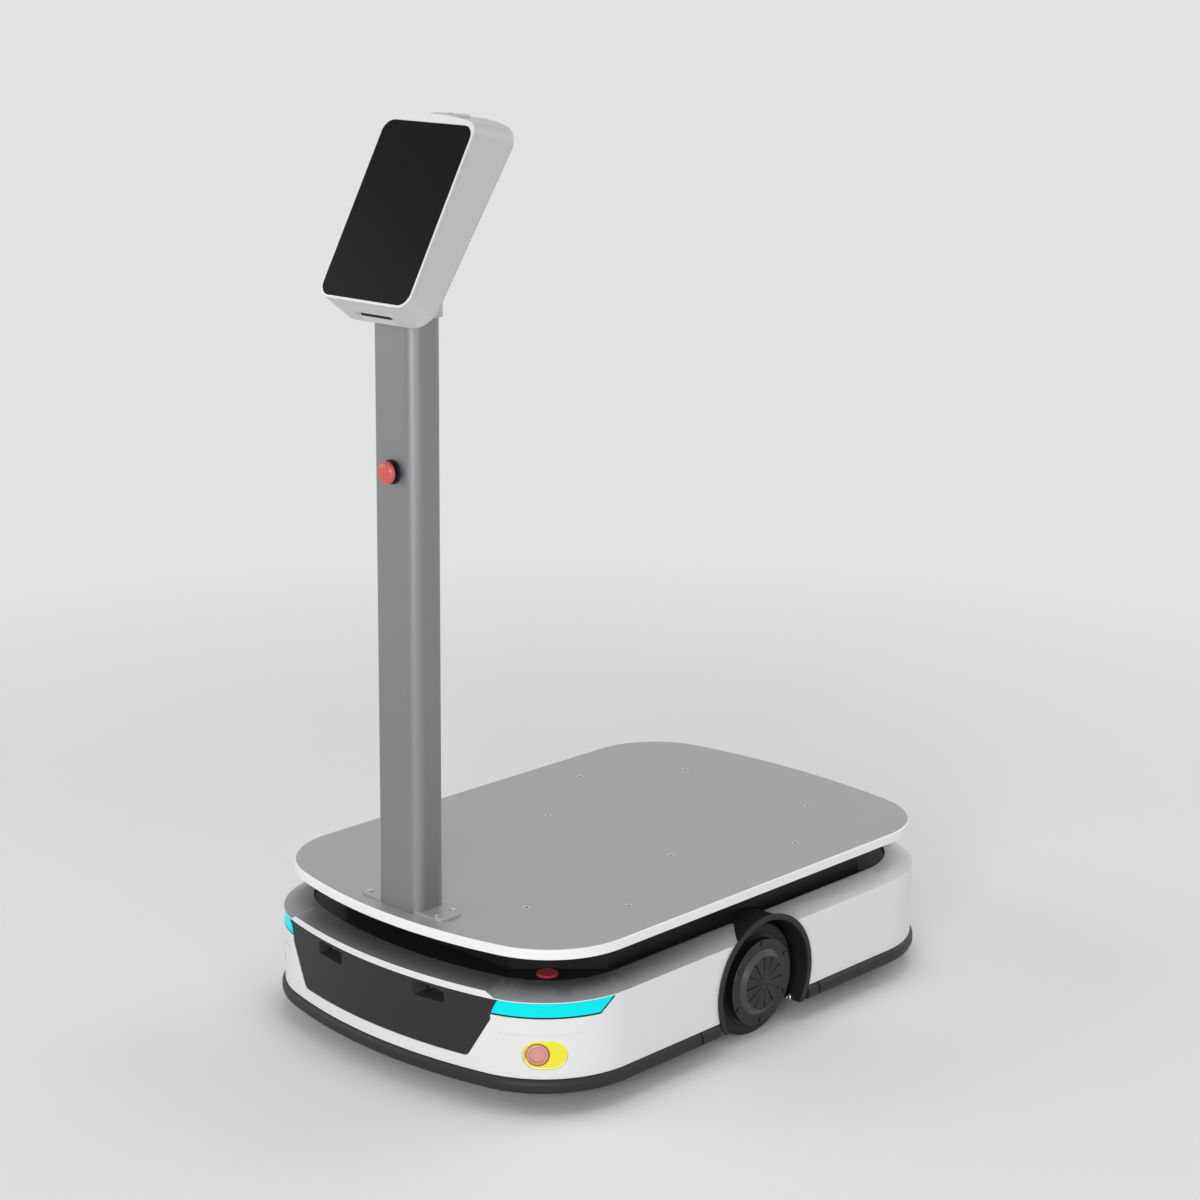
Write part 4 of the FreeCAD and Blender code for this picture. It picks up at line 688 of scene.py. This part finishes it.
FINISHES = (
    # The white shell takes a painted shadow on its shoulder slopes, under the load plate.
    Finish("satin_white_shell", tone(226, 227, 229), 0.36, coat=0.2, drift=0.012, scale=1400,
           smoke=grey(74)),
    Finish("dark_panel", grey(44), 0.5, drift=0.05, scale=2200, bump=0.05, specular=0.22),
    Finish("black_moulding", grey(17), 0.5, drift=0.08, scale=1600, bump=0.06, dust=0.02,
           specular=0.3),
    Finish("black_powder_coat", tone(20, 20, 21), 0.5, drift=0.08, scale=2600, bump=0.08,
           specular=0.3),
    Finish("satin_plate", tone(172, 173, 174), 0.42, metallic=0.6, scale=2600, grain=Grain.ALONG_Y,
           wear=0.12, worn=tone(196, 197, 198)),
    # The plate's rim: a painted highlight, paler than the plate's top where the front light catches
    # it.
    Finish("bright_rim", tone(240, 240, 241), 0.4, metallic=0.1, scale=2600, grain=Grain.ACROSS_X),
    Finish("anodised_column", tone(141, 142, 143), 0.46, metallic=0.85, scale=1800,
           grain=Grain.ALONG_Z, wear=0.1, worn=tone(180, 181, 182)),
    Finish("bright_steel", grey(200), 0.28, metallic=1.0, drift=0.04),
    Finish("blackened_screw", grey(62), 0.35, metallic=0.9, drift=0.06, bump=0.03),
    Finish("silver_housing", tone(190, 191, 192), 0.4, coat=0.1, drift=0.012, scale=1800),
    Finish("white_bezel", tone(220, 221, 222), 0.32, coat=0.2, drift=0.01, bump=0.01),
    Finish("screen_glass", grey(22), 0.22, drift=0.01, rough_drift=0.01, scale=900,
           bump=0.0, specular=0.04),
    Finish("yellow_gloss", tone(236, 228, 44), 0.32, coat=0.3, scale=1200),
    Finish("pale_yellow_lip", tone(246, 242, 150), 0.32, coat=0.3, scale=1200),
    # painted shade for the lip round a corner button's well
    Finish("well_shade", tone(120, 92, 30), 0.5, scale=1200),
    Finish("rose_button", tone(216, 148, 142), 0.36, coat=0.2, drift=0.03, scale=1200),
    Finish("signal_red", tone(198, 84, 80), 0.36, coat=0.2, drift=0.03, scale=1200, bump=0.03),
    Finish("deep_red", tone(168, 58, 62), 0.42, coat=0.2, drift=0.04, scale=1200, bump=0.03),
    Finish("lens_black", grey(10), 0.08, coat=0.8, drift=0.0, rough_drift=0.01, scale=900, bump=0.0),
    Finish("tyre_rubber", tone(34, 34, 35), 0.72, drift=0.1, scale=1300, bump=0.15, dust=0.04,
           specular=0.35, wear=0.3, worn=grey(78)),
    Finish("hub_black", grey(34), 0.42, metallic=0.5, drift=0.06, scale=1300, bump=0.04),
    Finish("cover_black", grey(20), 0.34, drift=0.06, bump=0.05, specular=0.4, wear=0.3,
           worn=grey(112)),
    Finish("bumper_rubber", grey(38), 0.5, drift=0.06, bump=0.08, dust=0.02, specular=0.3,
           wear=0.2, worn=grey(80)),
    Finish("zinc_arm", tone(90, 91, 94), 0.45, metallic=0.8, drift=0.06, scale=1100, bump=0.04,
           wear=0.3, worn=grey(150)),
    Finish("pan_metal", grey(50), 0.5, metallic=0.6, drift=0.06, scale=900, bump=0.04),
    Finish("battery_case", tone(60, 60, 66), 0.5, metallic=0.5, drift=0.05, scale=900, bump=0.04),
    Finish("board_green", tone(30, 82, 50), 0.5, drift=0.1, scale=700, bump=0.05),
    Finish("caster_grey", grey(70), 0.6, drift=0.07, scale=1200, bump=0.08, wear=0.25, worn=grey(110)),
    Finish("brass_contact", tone(205, 165, 95), 0.3, metallic=1.0, drift=0.05, grain=Grain.ACROSS_X,
           bump=0.03),
    Finish("arch_moulding", grey(27), 0.5, drift=0.08, scale=1600, bump=0.06, specular=0.35,
           wear=0.3, worn=grey(70)),
    # A lighter grey on the hub cover's cone band: a painted highlight.
    Finish("satin_cone", grey(60), 0.3, drift=0.05, bump=0.04, specular=0.55),
    # A pale grey on the hub cover's outer rim: a painted highlight.
    Finish("rubbed_edge", grey(120), 0.35, metallic=0.3, drift=0.1),
    # Black standing in for shade: the gap round the lights, screw sockets, the chin slot and the vent
    # slots.
    Finish("black_gasket", grey(14), 0.6, drift=0.06, bump=0.05, specular=0.3),
    Finish("cyan_light", tone(0, 168, 172), 0.45, scale=300, bump=0.0, specular=0.1,
           glow=tone(0, 218, 222), glow_strength=0.62),
)

# The finish of each record slot that has another name.
SLOT_FINISH = {
    "shell_white": "satin_white_shell", "panel_dark": "dark_panel", "deck_black": "black_moulding",
    "frame_black": "black_powder_coat", "plate_alu": "satin_plate", "column_alu": "anodised_column",
    "steel": "bright_steel", "light_cyan": "cyan_light", "pad_yellow": "yellow_gloss",
    "button_pink": "rose_button", "stop_red": "signal_red", "power_red": "deep_red",
    "head_silver": "silver_housing", "bezel_white": "white_bezel", "screen_black": "screen_glass",
    "hub_dark": "hub_black", "cover_dark": "cover_black", "arm_steel": "zinc_arm",
    "contact_brass": "brass_contact",
}


class Palette:
    """Every material of the robot, by finish name and by record slot."""

    def __init__(self) -> None:
        """Build the shared groups and each finish."""
        groups = {"grain": grain_group(), "dust": dust_group(), "wear": wear_group(),
                  "smoke": smoke_group()}
        self.materials = {finish.name: finish.build(groups) for finish in FINISHES}

    def __getitem__(self, name: str) -> Material:
        """The material of a finish."""
        return self.materials[name]

    def choose(self, slot: str, finish: str | None = None) -> Material:
        """The material of a finish, or else of a record slot."""
        return self.materials[finish or SLOT_FINISH.get(slot, slot)]


# ---- sub-assemblies


@dataclass
class SubAssembly:
    """A group of pieces that are built and dressed together."""

    palette: Palette
    pieces: list[Piece] = field(default_factory=list)

    def keep(self, node: str) -> None:
        """Show a CAD node as it is, in its slot's finish."""
        dress(frame["nodes"][node], self.palette.choose(slot_of(node)))

    def refine(self, node: str, width: float, segments: int = 2, finish: str | None = None) -> Piece:
        """Replace a CAD node by its softened copy.

        Args:
            node: The CAD node's name.
            width: The width of its rounded edges.
            segments: How many faces make a rounded edge.
            finish: Its finish, if not its slot's.

        Returns:
            The copy.
        """
        copy = merged_copy(node)
        shade(copy)
        if width > 0:
            soften(copy, width, segments)
            shade(copy)
        dress(copy, self.palette.choose(slot_of(node), finish))
        self.pieces.append(copy)
        return copy

    def add(self, thing: Piece, host: str, slot: str | None = None,
            finish: str | None = None) -> None:
        """Dress a new piece and let it ride with a CAD node.

        Args:
            thing: The piece.
            host: The node whose body it rides on.
            slot: The record's material slot it takes its finish from, if not the node's.
            finish: Its finish, if not its slot's.
        """
        slot = slot or slot_of(host)
        dress(thing, self.palette.choose(slot, finish))
        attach(thing, body_of(host))
        self.pieces.append(thing)

    def repaint(self, thing: Piece, finish: str, test: FaceTest) -> None:
        """Give the faces that pass a test another finish.

        Args:
            thing: The dressed piece.
            finish: The other finish.
            test: Says whether a face takes it.
        """
        edit(thing)
        pick_faces(thing, test)
        assign_picked(thing, self.palette[finish])
        leave_edit()

    def build(self) -> None:
        """Make the pieces."""
        raise NotImplementedError

    def report(self) -> None:
        """Log each piece."""
        for thing in self.pieces:
            log.info("%s: %s, %d faces", type(self).__name__, thing.name, len(thing.data.polygons))


@dataclass
class Base(SubAssembly):
    """White shells, dark panel, lights, corner pads, deck and bumpers."""

    shell_edge: float = 1.2 * MM
    moulded_edge: float = 0.8 * MM
    thin_edge: float = 0.6 * MM
    bumper_edge: float = 0.5 * MM
    light_edge: float = 0.3 * MM
    gasket_wide: float = 1.3 * MM
    gasket_lift: float = 0.8 * MM
    pad_lip: float = 1.5 * MM
    pad_dip: float = 0.5 * MM
    well_reach: float = 15.5 * MM
    frame_size: tuple[float, float] = (60 * MM, 50 * MM)
    frame_deep: float = 3.0 * MM
    frame_proud: float = 0.4 * MM
    frame_border: float = 4.5 * MM
    knob_steps: Steps = ((2.6 * MM, 0.0), (0.6 * MM, -0.4 * MM))
    knob_face: float = 0.2 * MM
    front_radius: float = 700 * MM
    lens_radius: float = 3.0 * MM
    lens_tall: float = 1.0 * MM
    lens_apart: float = 9.0 * MM
    lens_proud: float = 1.2 * MM
    lens_rim: float = 0.6 * MM
    lens_steps: Steps = (
        (0.5 * MM, 0.0), (0.3 * MM, -0.4 * MM), (0.9 * MM, 0.25 * MM))
    arch_bolt_at: Point = (266 * MM, 70 * MM, 31 * MM)
    arch_bolt_radius: float = 4.6 * MM
    arch_bolt_tall: float = 3.4 * MM

    def build(self) -> None:
        """Make the body's outer pieces."""
        for node in ("front_shell", "rear_shell"):
            self.refine(node, self.shell_edge)
        self.refine("front_panel", self.moulded_edge)
        for side in Side:
            self.make_light(side)
            self.make_corner_pad(side)
            self.refine(f"wheel_arch_{side.word}", self.moulded_edge, finish="arch_moulding")
            self.refine(f"skirt_{side.word}", self.thin_edge)
            self.keep(f"camera_window_{side.word}")
            self.make_lenses(side)
            self.make_arch_bolt(side)
        self.refine("deck_tray", self.thin_edge)
        self.refine("deck_frame", self.moulded_edge)
        self.refine("power_button", self.bumper_edge, 3)
        for node in ("front_bumper", "rear_bumper"):
            self.refine(node, self.bumper_edge)
        for node in ("base_pan", "inner_frame", "battery_pack", "control_unit", "charge_contacts"):
            self.keep(node)
        self.make_contact_frame()

    def make_contact_frame(self) -> None:
        """Frame the charging contacts with a raised dark border."""
        node = "charge_contacts"
        at = middle(node)
        at.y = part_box(node)[1].y - self.frame_deep / 2 + self.frame_proud
        wide, tall = self.frame_size
        deselect_all()
        bpy.ops.mesh.primitive_cube_add(size=1.0, location=tuple(at))
        border = named("contact_frame", (wide, self.frame_deep, tall))
        edit(border)
        pick_faces(border, lambda face: abs(face.normal.y) > 0.9)
        bpy.ops.mesh.inset(thickness=self.frame_border, use_individual=True)
        bpy.ops.mesh.bridge_edge_loops()
        leave_edit()
        settle(border)
        soften(border, self.thin_edge, 3)
        self.add(border, node, "deck_black")

    def make_light(self, side: Side) -> None:
        """Give a corner light a black border of painted shade, standing in for the shadow in the gap
        round it.

        Args:
            side: The light's side.
        """
        strip = self.refine(f"light_strip_{side.word}", self.light_edge)

        def on_front(face: Face) -> bool:
            """Whether this face is part of the light's outer face."""
            away = face.calc_center_median()
            away.z = 0.0
            return abs(face.normal.z) < 0.4 and face.normal.dot(away.normalized()) > 0.6

        edit(strip)
        pick_faces(strip, on_front)
        bpy.ops.mesh.inset(thickness=self.gasket_wide, use_even_offset=True)
        bpy.ops.transform.translate(value=(0.0, 0.0, self.gasket_lift))
        # the border round the light's face turns black: painted shade of the gap
        bpy.ops.mesh.select_all(action="INVERT")
        assign_picked(strip, self.palette["black_gasket"])
        leave_edit()

    def make_corner_pad(self, side: Side) -> None:
        """Give a corner pad its pale lip, painted shade on the lip round the button's well, and its
        button a stepped face.

        Args:
            side: The pad's side.
        """
        way = Vector((side.value, -1.0, 0.0)).normalized()
        pad = self.refine(f"button_base_{side.word}", self.light_edge)
        edit(pad)
        pick_faces(pad, faces_along(way, 0.98))
        bpy.ops.mesh.inset(thickness=self.pad_lip, use_even_offset=True)
        bpy.ops.transform.translate(value=-way * self.pad_dip)
        leave_edit()
        lip = faces_along(way, 0.85, 0.98)
        self.repaint(pad, "pale_yellow_lip", lip)
        knob_at = middle(f"corner_button_{side.word}")

        def round_knob(face: Face) -> bool:
            """Whether this face of the lip stands round the button."""
            arm = face.calc_center_median() - knob_at
            return lip(face) and (arm - way * arm.dot(way)).length < self.well_reach

        self.repaint(pad, "well_shade", round_knob)
        knob = self.refine(f"corner_button_{side.word}", self.thin_edge, 3)
        reach = max(corner.co.dot(way) for corner in knob.data.vertices)
        press(knob, lambda face: face.calc_center_median().dot(way) > reach - self.knob_face,
              self.knob_steps, use_even_offset=True)

    def make_lenses(self, side: Side) -> None:
        """Set two small lenses in a camera window.

        Args:
            side: The window's side.
        """
        node = f"camera_window_{side.word}"
        at = middle(node)
        lean = math.asin(at.x / self.front_radius)
        way = Vector((math.sin(lean), -math.cos(lean), 0.0))
        along = Vector((math.cos(lean), math.sin(lean), 0.0))
        turn = tuple(way.to_track_quat("Z", "Y").to_euler())
        for index, share in enumerate((-1, 1), start=1):
            centre = at + way * self.lens_proud + along * self.lens_apart * share
            lens = add_tube(f"camera_lens_{side.word}_{index}", self.lens_radius, self.lens_tall,
                            tuple(centre), sides=40, turn=turn)
            press(lens, END_FACE, self.lens_steps)
            settle(lens)
            self.add(lens, node, finish="lens_black")
            self.repaint(lens, "hub_black", self.ring_test(centre))

    def ring_test(self, centre: Vector) -> FaceTest:
        """A test for the outer ring of a lens with this centre."""
        reach = self.lens_radius - self.lens_rim
        return lambda face: (face.calc_center_median() - centre).length > reach

    def make_arch_bolt(self, side: Side) -> None:
        """Put the bright bolt on the rear foot of a wheel arch.

        Args:
            side: The arch's side.
        """
        out, along, up = self.arch_bolt_at
        bolt = add_button_bolt(f"arch_bolt_{side.word}", (side.value * out, along, up),
                               (0.0, -1.0, 0.0), self.arch_bolt_radius, self.arch_bolt_tall)
        self.add(bolt, f"wheel_arch_{side.word}", "steel")


@dataclass
class LoadPlate(SubAssembly):
    """The load plate with its screws."""

    edge: float = 0.8 * MM
    screw_edge: float = 0.2 * MM
    socket_dark: float = 0.5 * MM

    def build(self) -> None:
        """Make the plate, with a painted highlight on its rim."""
        plate = self.refine("load_plate", self.edge)
        self.repaint(plate, "bright_rim", lambda face: abs(face.normal.z) < 0.8)
        screws = self.refine("plate_screws", self.screw_edge)
        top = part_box("load_plate")[1].z
        # Faces below the plate's top, down in the screw sockets, take painted black shade.
        self.repaint(screws, "black_gasket",
                     lambda face: face.calc_center_median().z < top - self.socket_dark)


@dataclass
class Column(SubAssembly):
    """The column, its foot and its emergency stop."""

    edge: float = 0.4 * MM
    screw_edge: float = 0.3 * MM
    cap_edge: float = 0.5 * MM
    ledge_high: float = 170 * MM

    def build(self) -> None:
        """Make the column's pieces."""
        self.refine("column", self.edge)
        self.refine("column_foot", self.edge)
        screws = self.refine("pan_screws", self.screw_edge)
        self.repaint(screws, "blackened_screw",
                     lambda face: face.calc_center_median().z < self.ledge_high)
        self.refine("stop_collar", self.edge)
        self.refine("stop_cap", self.cap_edge, 3)
        self.keep("stop_plunger")


@dataclass
class Head(SubAssembly):
    """The leaning screen head."""

    lean: float = 29.0
    housing_edge: float = 0.8 * MM
    bezel_edge: float = 0.6 * MM
    eye_edge: float = 0.5 * MM
    glass_edge: float = 0.4 * MM
    window_stretch: float = 1.8
    screw_places: Steps = (
        (-52 * MM, -70 * MM), (52 * MM, -70 * MM), (-52 * MM, 78 * MM), (52 * MM, 78 * MM))
    stand_off: float = 200 * MM
    screw_radius: float = 3.2 * MM
    screw_tall: float = 1.4 * MM
    screw_proud: float = 0.3 * MM
    vent_up: float = 40 * MM
    vent_size: tuple[float, float] = (64 * MM, 30 * MM)
    vent_rows: int = 6
    vent_proud: float = 1.1 * MM
    vent_wall: float = 1.6 * MM
    vent_step: tuple[float, float] = (0.8 * MM, -0.7 * MM)

    def build(self) -> None:
        """Make the head's pieces."""
        housing = self.refine("head_housing", self.housing_edge)
        bezel = self.refine("head_bezel", self.bezel_edge)
        self.repaint(bezel, "silver_housing", faces_along(self.facing, -1.01, 0.6))
        self.refine("head_eye", self.eye_edge)
        self.refine("screen_glass", self.glass_edge)
        for node in ("eye_lens", "display_module"):
            self.keep(node)
        self.deepen_chin_slot()
        self.make_back_screws(housing)
        self.make_back_vents(housing)

    @property
    def facing(self) -> Vector:
        """The way the screen looks."""
        lean = math.radians(self.lean)
        return Vector((0.0, -math.cos(lean), math.sin(lean)))

    @property
    def upward(self) -> Vector:
        """The way up along the screen."""
        lean = math.radians(self.lean)
        return Vector((0.0, math.sin(lean), math.cos(lean)))

    def strike(self, housing: Piece, out: float, up: float) -> tuple[Vector, Vector]:
        """Find the housing's back, in line with a place on the screen.

        Args:
            housing: The refined housing.
            out: How far from the screen's middle along X.
            up: How far up along the screen.

        Returns:
            The place on the back and the way the back looks there.
        """
        back = self.facing * self.stand_off
        start = middle("head_bezel") + Vector((out, 0, 0)) + self.upward * up - back
        met, place, normal, _ = housing.ray_cast(start, self.facing)
        if not met:
            raise ValueError(f"nothing of {housing.name} in line")
        return place, normal

    def deepen_chin_slot(self) -> None:
        """Make the dark window in the chin's finger slot taller, so that its black stands in as
        painted shade under the slot's upper lip.
        """
        window = self.refine("chin_window", 0.0, finish="black_gasket")
        edit(window)
        bpy.ops.mesh.select_all(action="SELECT")
        bpy.ops.transform.resize(value=(1.0, 1.0, self.window_stretch),
                                 center_override=tuple(middle("chin_window")))
        leave_edit()

    def make_back_screws(self, housing: Piece) -> None:
        """Close the housing with four screws at its back.

        Args:
            housing: The refined housing.
        """
        for index, (out, up) in enumerate(self.screw_places, start=1):
            place, normal = self.strike(housing, out, up)
            screw = add_button_bolt(f"head_back_screw_{index}",
                                    tuple(place + normal * self.screw_proud), tuple(normal),
                                    self.screw_radius, self.screw_tall)
            self.add(screw, "head_housing", "steel", "blackened_screw")

    def make_back_vents(self, housing: Piece) -> None:
        """Set a slotted vent plate into the housing's back.

        Args:
            housing: The refined housing.
        """
        place, normal = self.strike(housing, 0.0, self.vent_up)
        wide, tall = self.vent_size
        deselect_all()
        bpy.ops.mesh.primitive_grid_add(x_subdivisions=1, y_subdivisions=self.vent_rows, size=1.0)
        vent = named("head_back_vent", (wide, tall, 1.0))
        press(vent, lambda face: True, (self.vent_step,), use_individual=True)
        wall = vent.modifiers.new("wall", "SOLIDIFY")
        wall.thickness = self.vent_wall
        wall.offset = -1.0
        apply_modifiers(vent)
        across = Vector((1.0, 0.0, 0.0))
        up = normal.cross(across)
        turn = Matrix((across, up, normal)).transposed().to_4x4()
        vent.matrix_world = Matrix.Translation(place + normal * self.vent_proud) @ turn
        settle(vent)
        self.add(vent, "head_housing")
        # The slots' floors take painted black shade, standing in for the dark inside of open slots.
        half = self.vent_proud / 2
        self.repaint(vent, "black_gasket",
                     lambda face: normal.dot(face.calc_center_median() - place) < half)


@dataclass
class DriveWheel(SubAssembly):
    """One drive wheel with its hub cover and suspension arm."""

    side: Side = Side.RIGHT
    edge: float = 0.3 * MM
    socket_deep: float = 0.3 * MM
    tyre_edge: float = 0.5 * MM
    tread_reach: float = 0.8 * MM
    tread_gap: float = 1.0 * MM
    tread_deep: float = 0.6 * MM
    cover_sides: int = 96
    cover_angle: float = 30.0
    cover_rim: float = 0.6 * MM
    cover_slots: int = 12
    slot_near: float = 12 * MM
    slot_far: float = 30 * MM
    slot_lip: float = 0.15 * MM
    slot_deep: float = 2.4 * MM
    cover_steps: Steps = (
        (0.6 * MM, 0.0), (13.0 * MM, 0.0), (6.5 * MM, 4.2 * MM), (0.8 * MM, 0.5 * MM),
        (1.2 * MM, -0.5 * MM), (26.0 * MM, 0.6 * MM), (0.7 * MM, 0.8 * MM))

    def build(self) -> None:
        """Make the wheel's pieces."""
        word = self.side.word
        self.make_tyre()
        self.make_cover()
        screws = self.refine(f"cover_screws_{word}", self.edge, finish="blackened_screw")
        reach = max(abs(corner.co.x) for corner in screws.data.vertices)

        def in_socket(face: Face) -> bool:
            """Whether this face is the bottom of a screw's socket, painted bright steel as a glint."""
            out = abs(face.calc_center_median().x)
            return abs(face.normal.x) > 0.9 and out < reach - self.socket_deep

        # painted glint: bright steel at the bottoms of the black screws' sockets
        self.repaint(screws, "bright_steel", in_socket)
        for node in ("hub", "suspension_arm", "pivot_bracket"):
            self.keep(f"{node}_{word}")

    def make_cover(self) -> None:
        """Raise the middle of the hub cover and press tapering slots into it."""
        node = f"wheel_cover_{self.side.word}"
        low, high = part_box(node)
        radius, deep = (high.z - low.z) / 2, high.x - low.x
        cover = add_tube(f"{node}_finished", radius, deep, tuple(middle(node)), sides=self.cover_sides,
                         turn=(0.0, self.side.value * math.pi / 2, 0.0))
        press(cover, END_FACE, self.cover_steps)

        def on_spoke(face: Face) -> bool:
            """Whether this face becomes one of the slots."""
            arm = face.calc_center_median()
            turn = math.degrees(math.atan2(arm.y, arm.x)) % (360 / self.cover_slots)
            return (self.slot_near < math.hypot(arm.x, arm.y) < self.slot_far
                    and face.normal.z > 0.9 and turn < 360 / self.cover_sides)

        press(cover, on_spoke, ((self.slot_lip, -self.slot_deep),), use_individual=True)
        settle(cover, self.cover_angle)
        soften(cover, self.edge, angle=self.cover_angle)
        self.add(cover, node)
        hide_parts(node)
        axle = middle(node)

        def band(near: float, far: float, least: float, most: float) -> FaceTest:
            """A test for faces in a ring round the axle, with a lean outwards between two cosines."""
            return lambda face: (near < math.hypot(*(face.calc_center_median() - axle).yz) < far
                                 and least < face.normal.x * self.side.value < most)

        # painted highlight on the cover's cone band
        self.repaint(cover, "satin_cone", band(self.slot_far, radius, 0.7, 0.92))
        # painted highlight on the cover's outer rim
        self.repaint(cover, "rubbed_edge", band(radius - self.cover_rim, math.inf, 0.2, 0.98))

    def make_tyre(self) -> None:
        """Press a shallow tread into the tyre's running face."""
        node = f"tyre_{self.side.word}"
        tyre = self.refine(node, self.tyre_edge)
        axle = middle(node)
        reach = (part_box(node)[1].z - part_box(node)[0].z) / 2

        def on_tread(face: Face) -> bool:
            """Whether this face is on the running face."""
            arm = face.calc_center_median() - axle
            arm.x = 0.0
            return arm.length > reach - self.tread_reach and abs(face.normal.x) < 0.1

        press(tyre, on_tread, ((self.tread_gap, -self.tread_deep),), use_individual=True)


@dataclass
class Caster(SubAssembly):
    """One swivel caster."""

    place: str = "front_right"
    edge: float = 0.4 * MM

    def build(self) -> None:
        """Make the caster's pieces."""
        for node in ("caster_fork", "caster_wheel"):
            self.refine(f"{node}_{self.place}", self.edge)


# ---- stage, lights and camera


@dataclass
class Lamp:
    """A soft rectangular lamp that looks at a point."""

    name: str
    place: Point
    size: float
    power: float
    target: Point = (0.0, 0.0, 0.35)

    def build(self) -> None:
        """Hang the lamp."""
        light = bpy.data.lights.new(self.name, "AREA")
        light.shape = "SQUARE"
        light.size = self.size
        light.energy = self.power
        lamp = bpy.data.objects.new(self.name, light)
        bpy.context.scene.collection.objects.link(lamp)
        lamp.location = self.place
        aim = Vector(self.target) - Vector(self.place)
        lamp.rotation_euler = aim.to_track_quat("-Z", "Y").to_euler()


@dataclass
class Studio:
    """Pale floor, pale background, soft lamps and the camera."""

    floor_size: float = 60.0
    floor_colour: Colour = (0.9, 0.9, 0.905)
    backdrop: Colour = (0.76, 0.76, 0.77)
    fade_start: float = 1.1
    fade_end: float = 2.6
    world_strength: float = 0.36
    camera_place: Point = (2.347, -2.512, 1.424)
    azimuth: float = 43.256
    pitch: float = 14.515
    roll: float = 0.572
    lens: float = 80.9
    lamps: tuple[Lamp, ...] = (
        Lamp("key_lamp", (3.0, -5.2, 1.9), 2.2, 160.0),
        Lamp("side_lamp", (5.0, -1.6, 1.3), 1.0, 26.0),
        Lamp("fill_lamp", (-4.2, -3.2, 2.2), 3.0, 60.0),
        Lamp("top_lamp", (0.2, 0.6, 5.5), 3.2, 60.0),
        Lamp("rear_lamp", (1.0, 4.8, 2.6), 2.4, 40.0),
    )

    def build(self) -> None:
        """Set the stage."""
        self.lay_floor()
        self.light_world()
        for lamp in self.lamps:
            lamp.build()
        self.place_camera()
        bpy.context.scene.view_settings.view_transform = "Standard"

    def lay_floor(self) -> None:
        """Lay a pale floor that keeps the shadow and fades into the backdrop."""
        deselect_all()
        bpy.ops.mesh.primitive_plane_add(size=self.floor_size, location=(0, 0, 0))
        floor = named("studio_floor")
        material = bpy.data.materials.new("studio_floor")
        material.use_nodes = True
        wiring = Wiring(material.node_tree)
        shader = material.node_tree.nodes["Principled BSDF"]
        wiring.feed_all(shader, {"Base Color": (*self.floor_colour, 1.0), "Roughness": 0.8,
                                 "Specular IOR Level": 0.2})
        far = wiring.node("VectorMath", {0: wiring.place()}, operation="LENGTH").outputs["Value"]
        fade = wiring.ramp(far, self.fade_start, self.fade_end)
        glow = wiring.node("Emission", {"Color": (*self.backdrop, 1.0)})
        wiring.show("Material Output", wiring.product(fade, wiring.seen_rays()), shader, glow)
        dress(floor, material)
        floor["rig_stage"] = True

    def light_world(self) -> None:
        """Give the world a soft light, and the backdrop's look to camera and reflections."""
        world = bpy.data.worlds.new("studio_world")
        bpy.context.scene.world = world
        world.use_nodes = True
        wiring = Wiring(world.node_tree)
        light = world.node_tree.nodes["Background"]
        wiring.feed_all(light, {"Color": (1.0, 1.0, 1.0, 1.0), "Strength": self.world_strength})
        seen = wiring.node("Background", {"Color": (*self.backdrop, 1.0)})
        wiring.show("World Output", wiring.seen_rays(), light, seen)

    def place_camera(self) -> None:
        """Place the camera."""
        data = bpy.data.cameras.new("camera")
        data.lens = self.lens
        data.sensor_width = 36.0
        camera = bpy.data.objects.new("camera", data)
        bpy.context.scene.collection.objects.link(camera)
        turn = (Matrix.Rotation(math.radians(self.azimuth), 4, "Z")
                @ Matrix.Rotation(math.radians(90 - self.pitch), 4, "X")
                @ Matrix.Rotation(math.radians(self.roll), 4, "Z"))
        camera.matrix_world = Matrix.Translation(self.camera_place) @ turn
        bpy.context.scene.camera = camera


def save_sizes() -> None:
    """Work out the CAD model's box and the dressed model's box, as plain lists."""
    boxes = {"cad": CAD_BOX, "visual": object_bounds()}
    plain = {name: [list(corner) for corner in box] for name, box in boxes.items()}


def assemblies(palette: Palette) -> Iterable[SubAssembly]:
    """Every sub-assembly of the robot, in building order."""
    yield Base(palette)
    yield LoadPlate(palette)
    yield Column(palette)
    yield Head(palette)
    for side in Side:
        yield DriveWheel(palette, side=side)
    for end in ("front", "rear"):
        for side in Side:
            yield Caster(palette, place=f"{end}_{side.word}")


def main() -> None:
    """Build the scene."""
    logging.basicConfig(level=logging.INFO, format="%(message)s")
    Studio().build()
    for assembly in assemblies(Palette()):
        assembly.build()
        assembly.report()
    save_sizes()


if __name__ == "__main__":
    main()
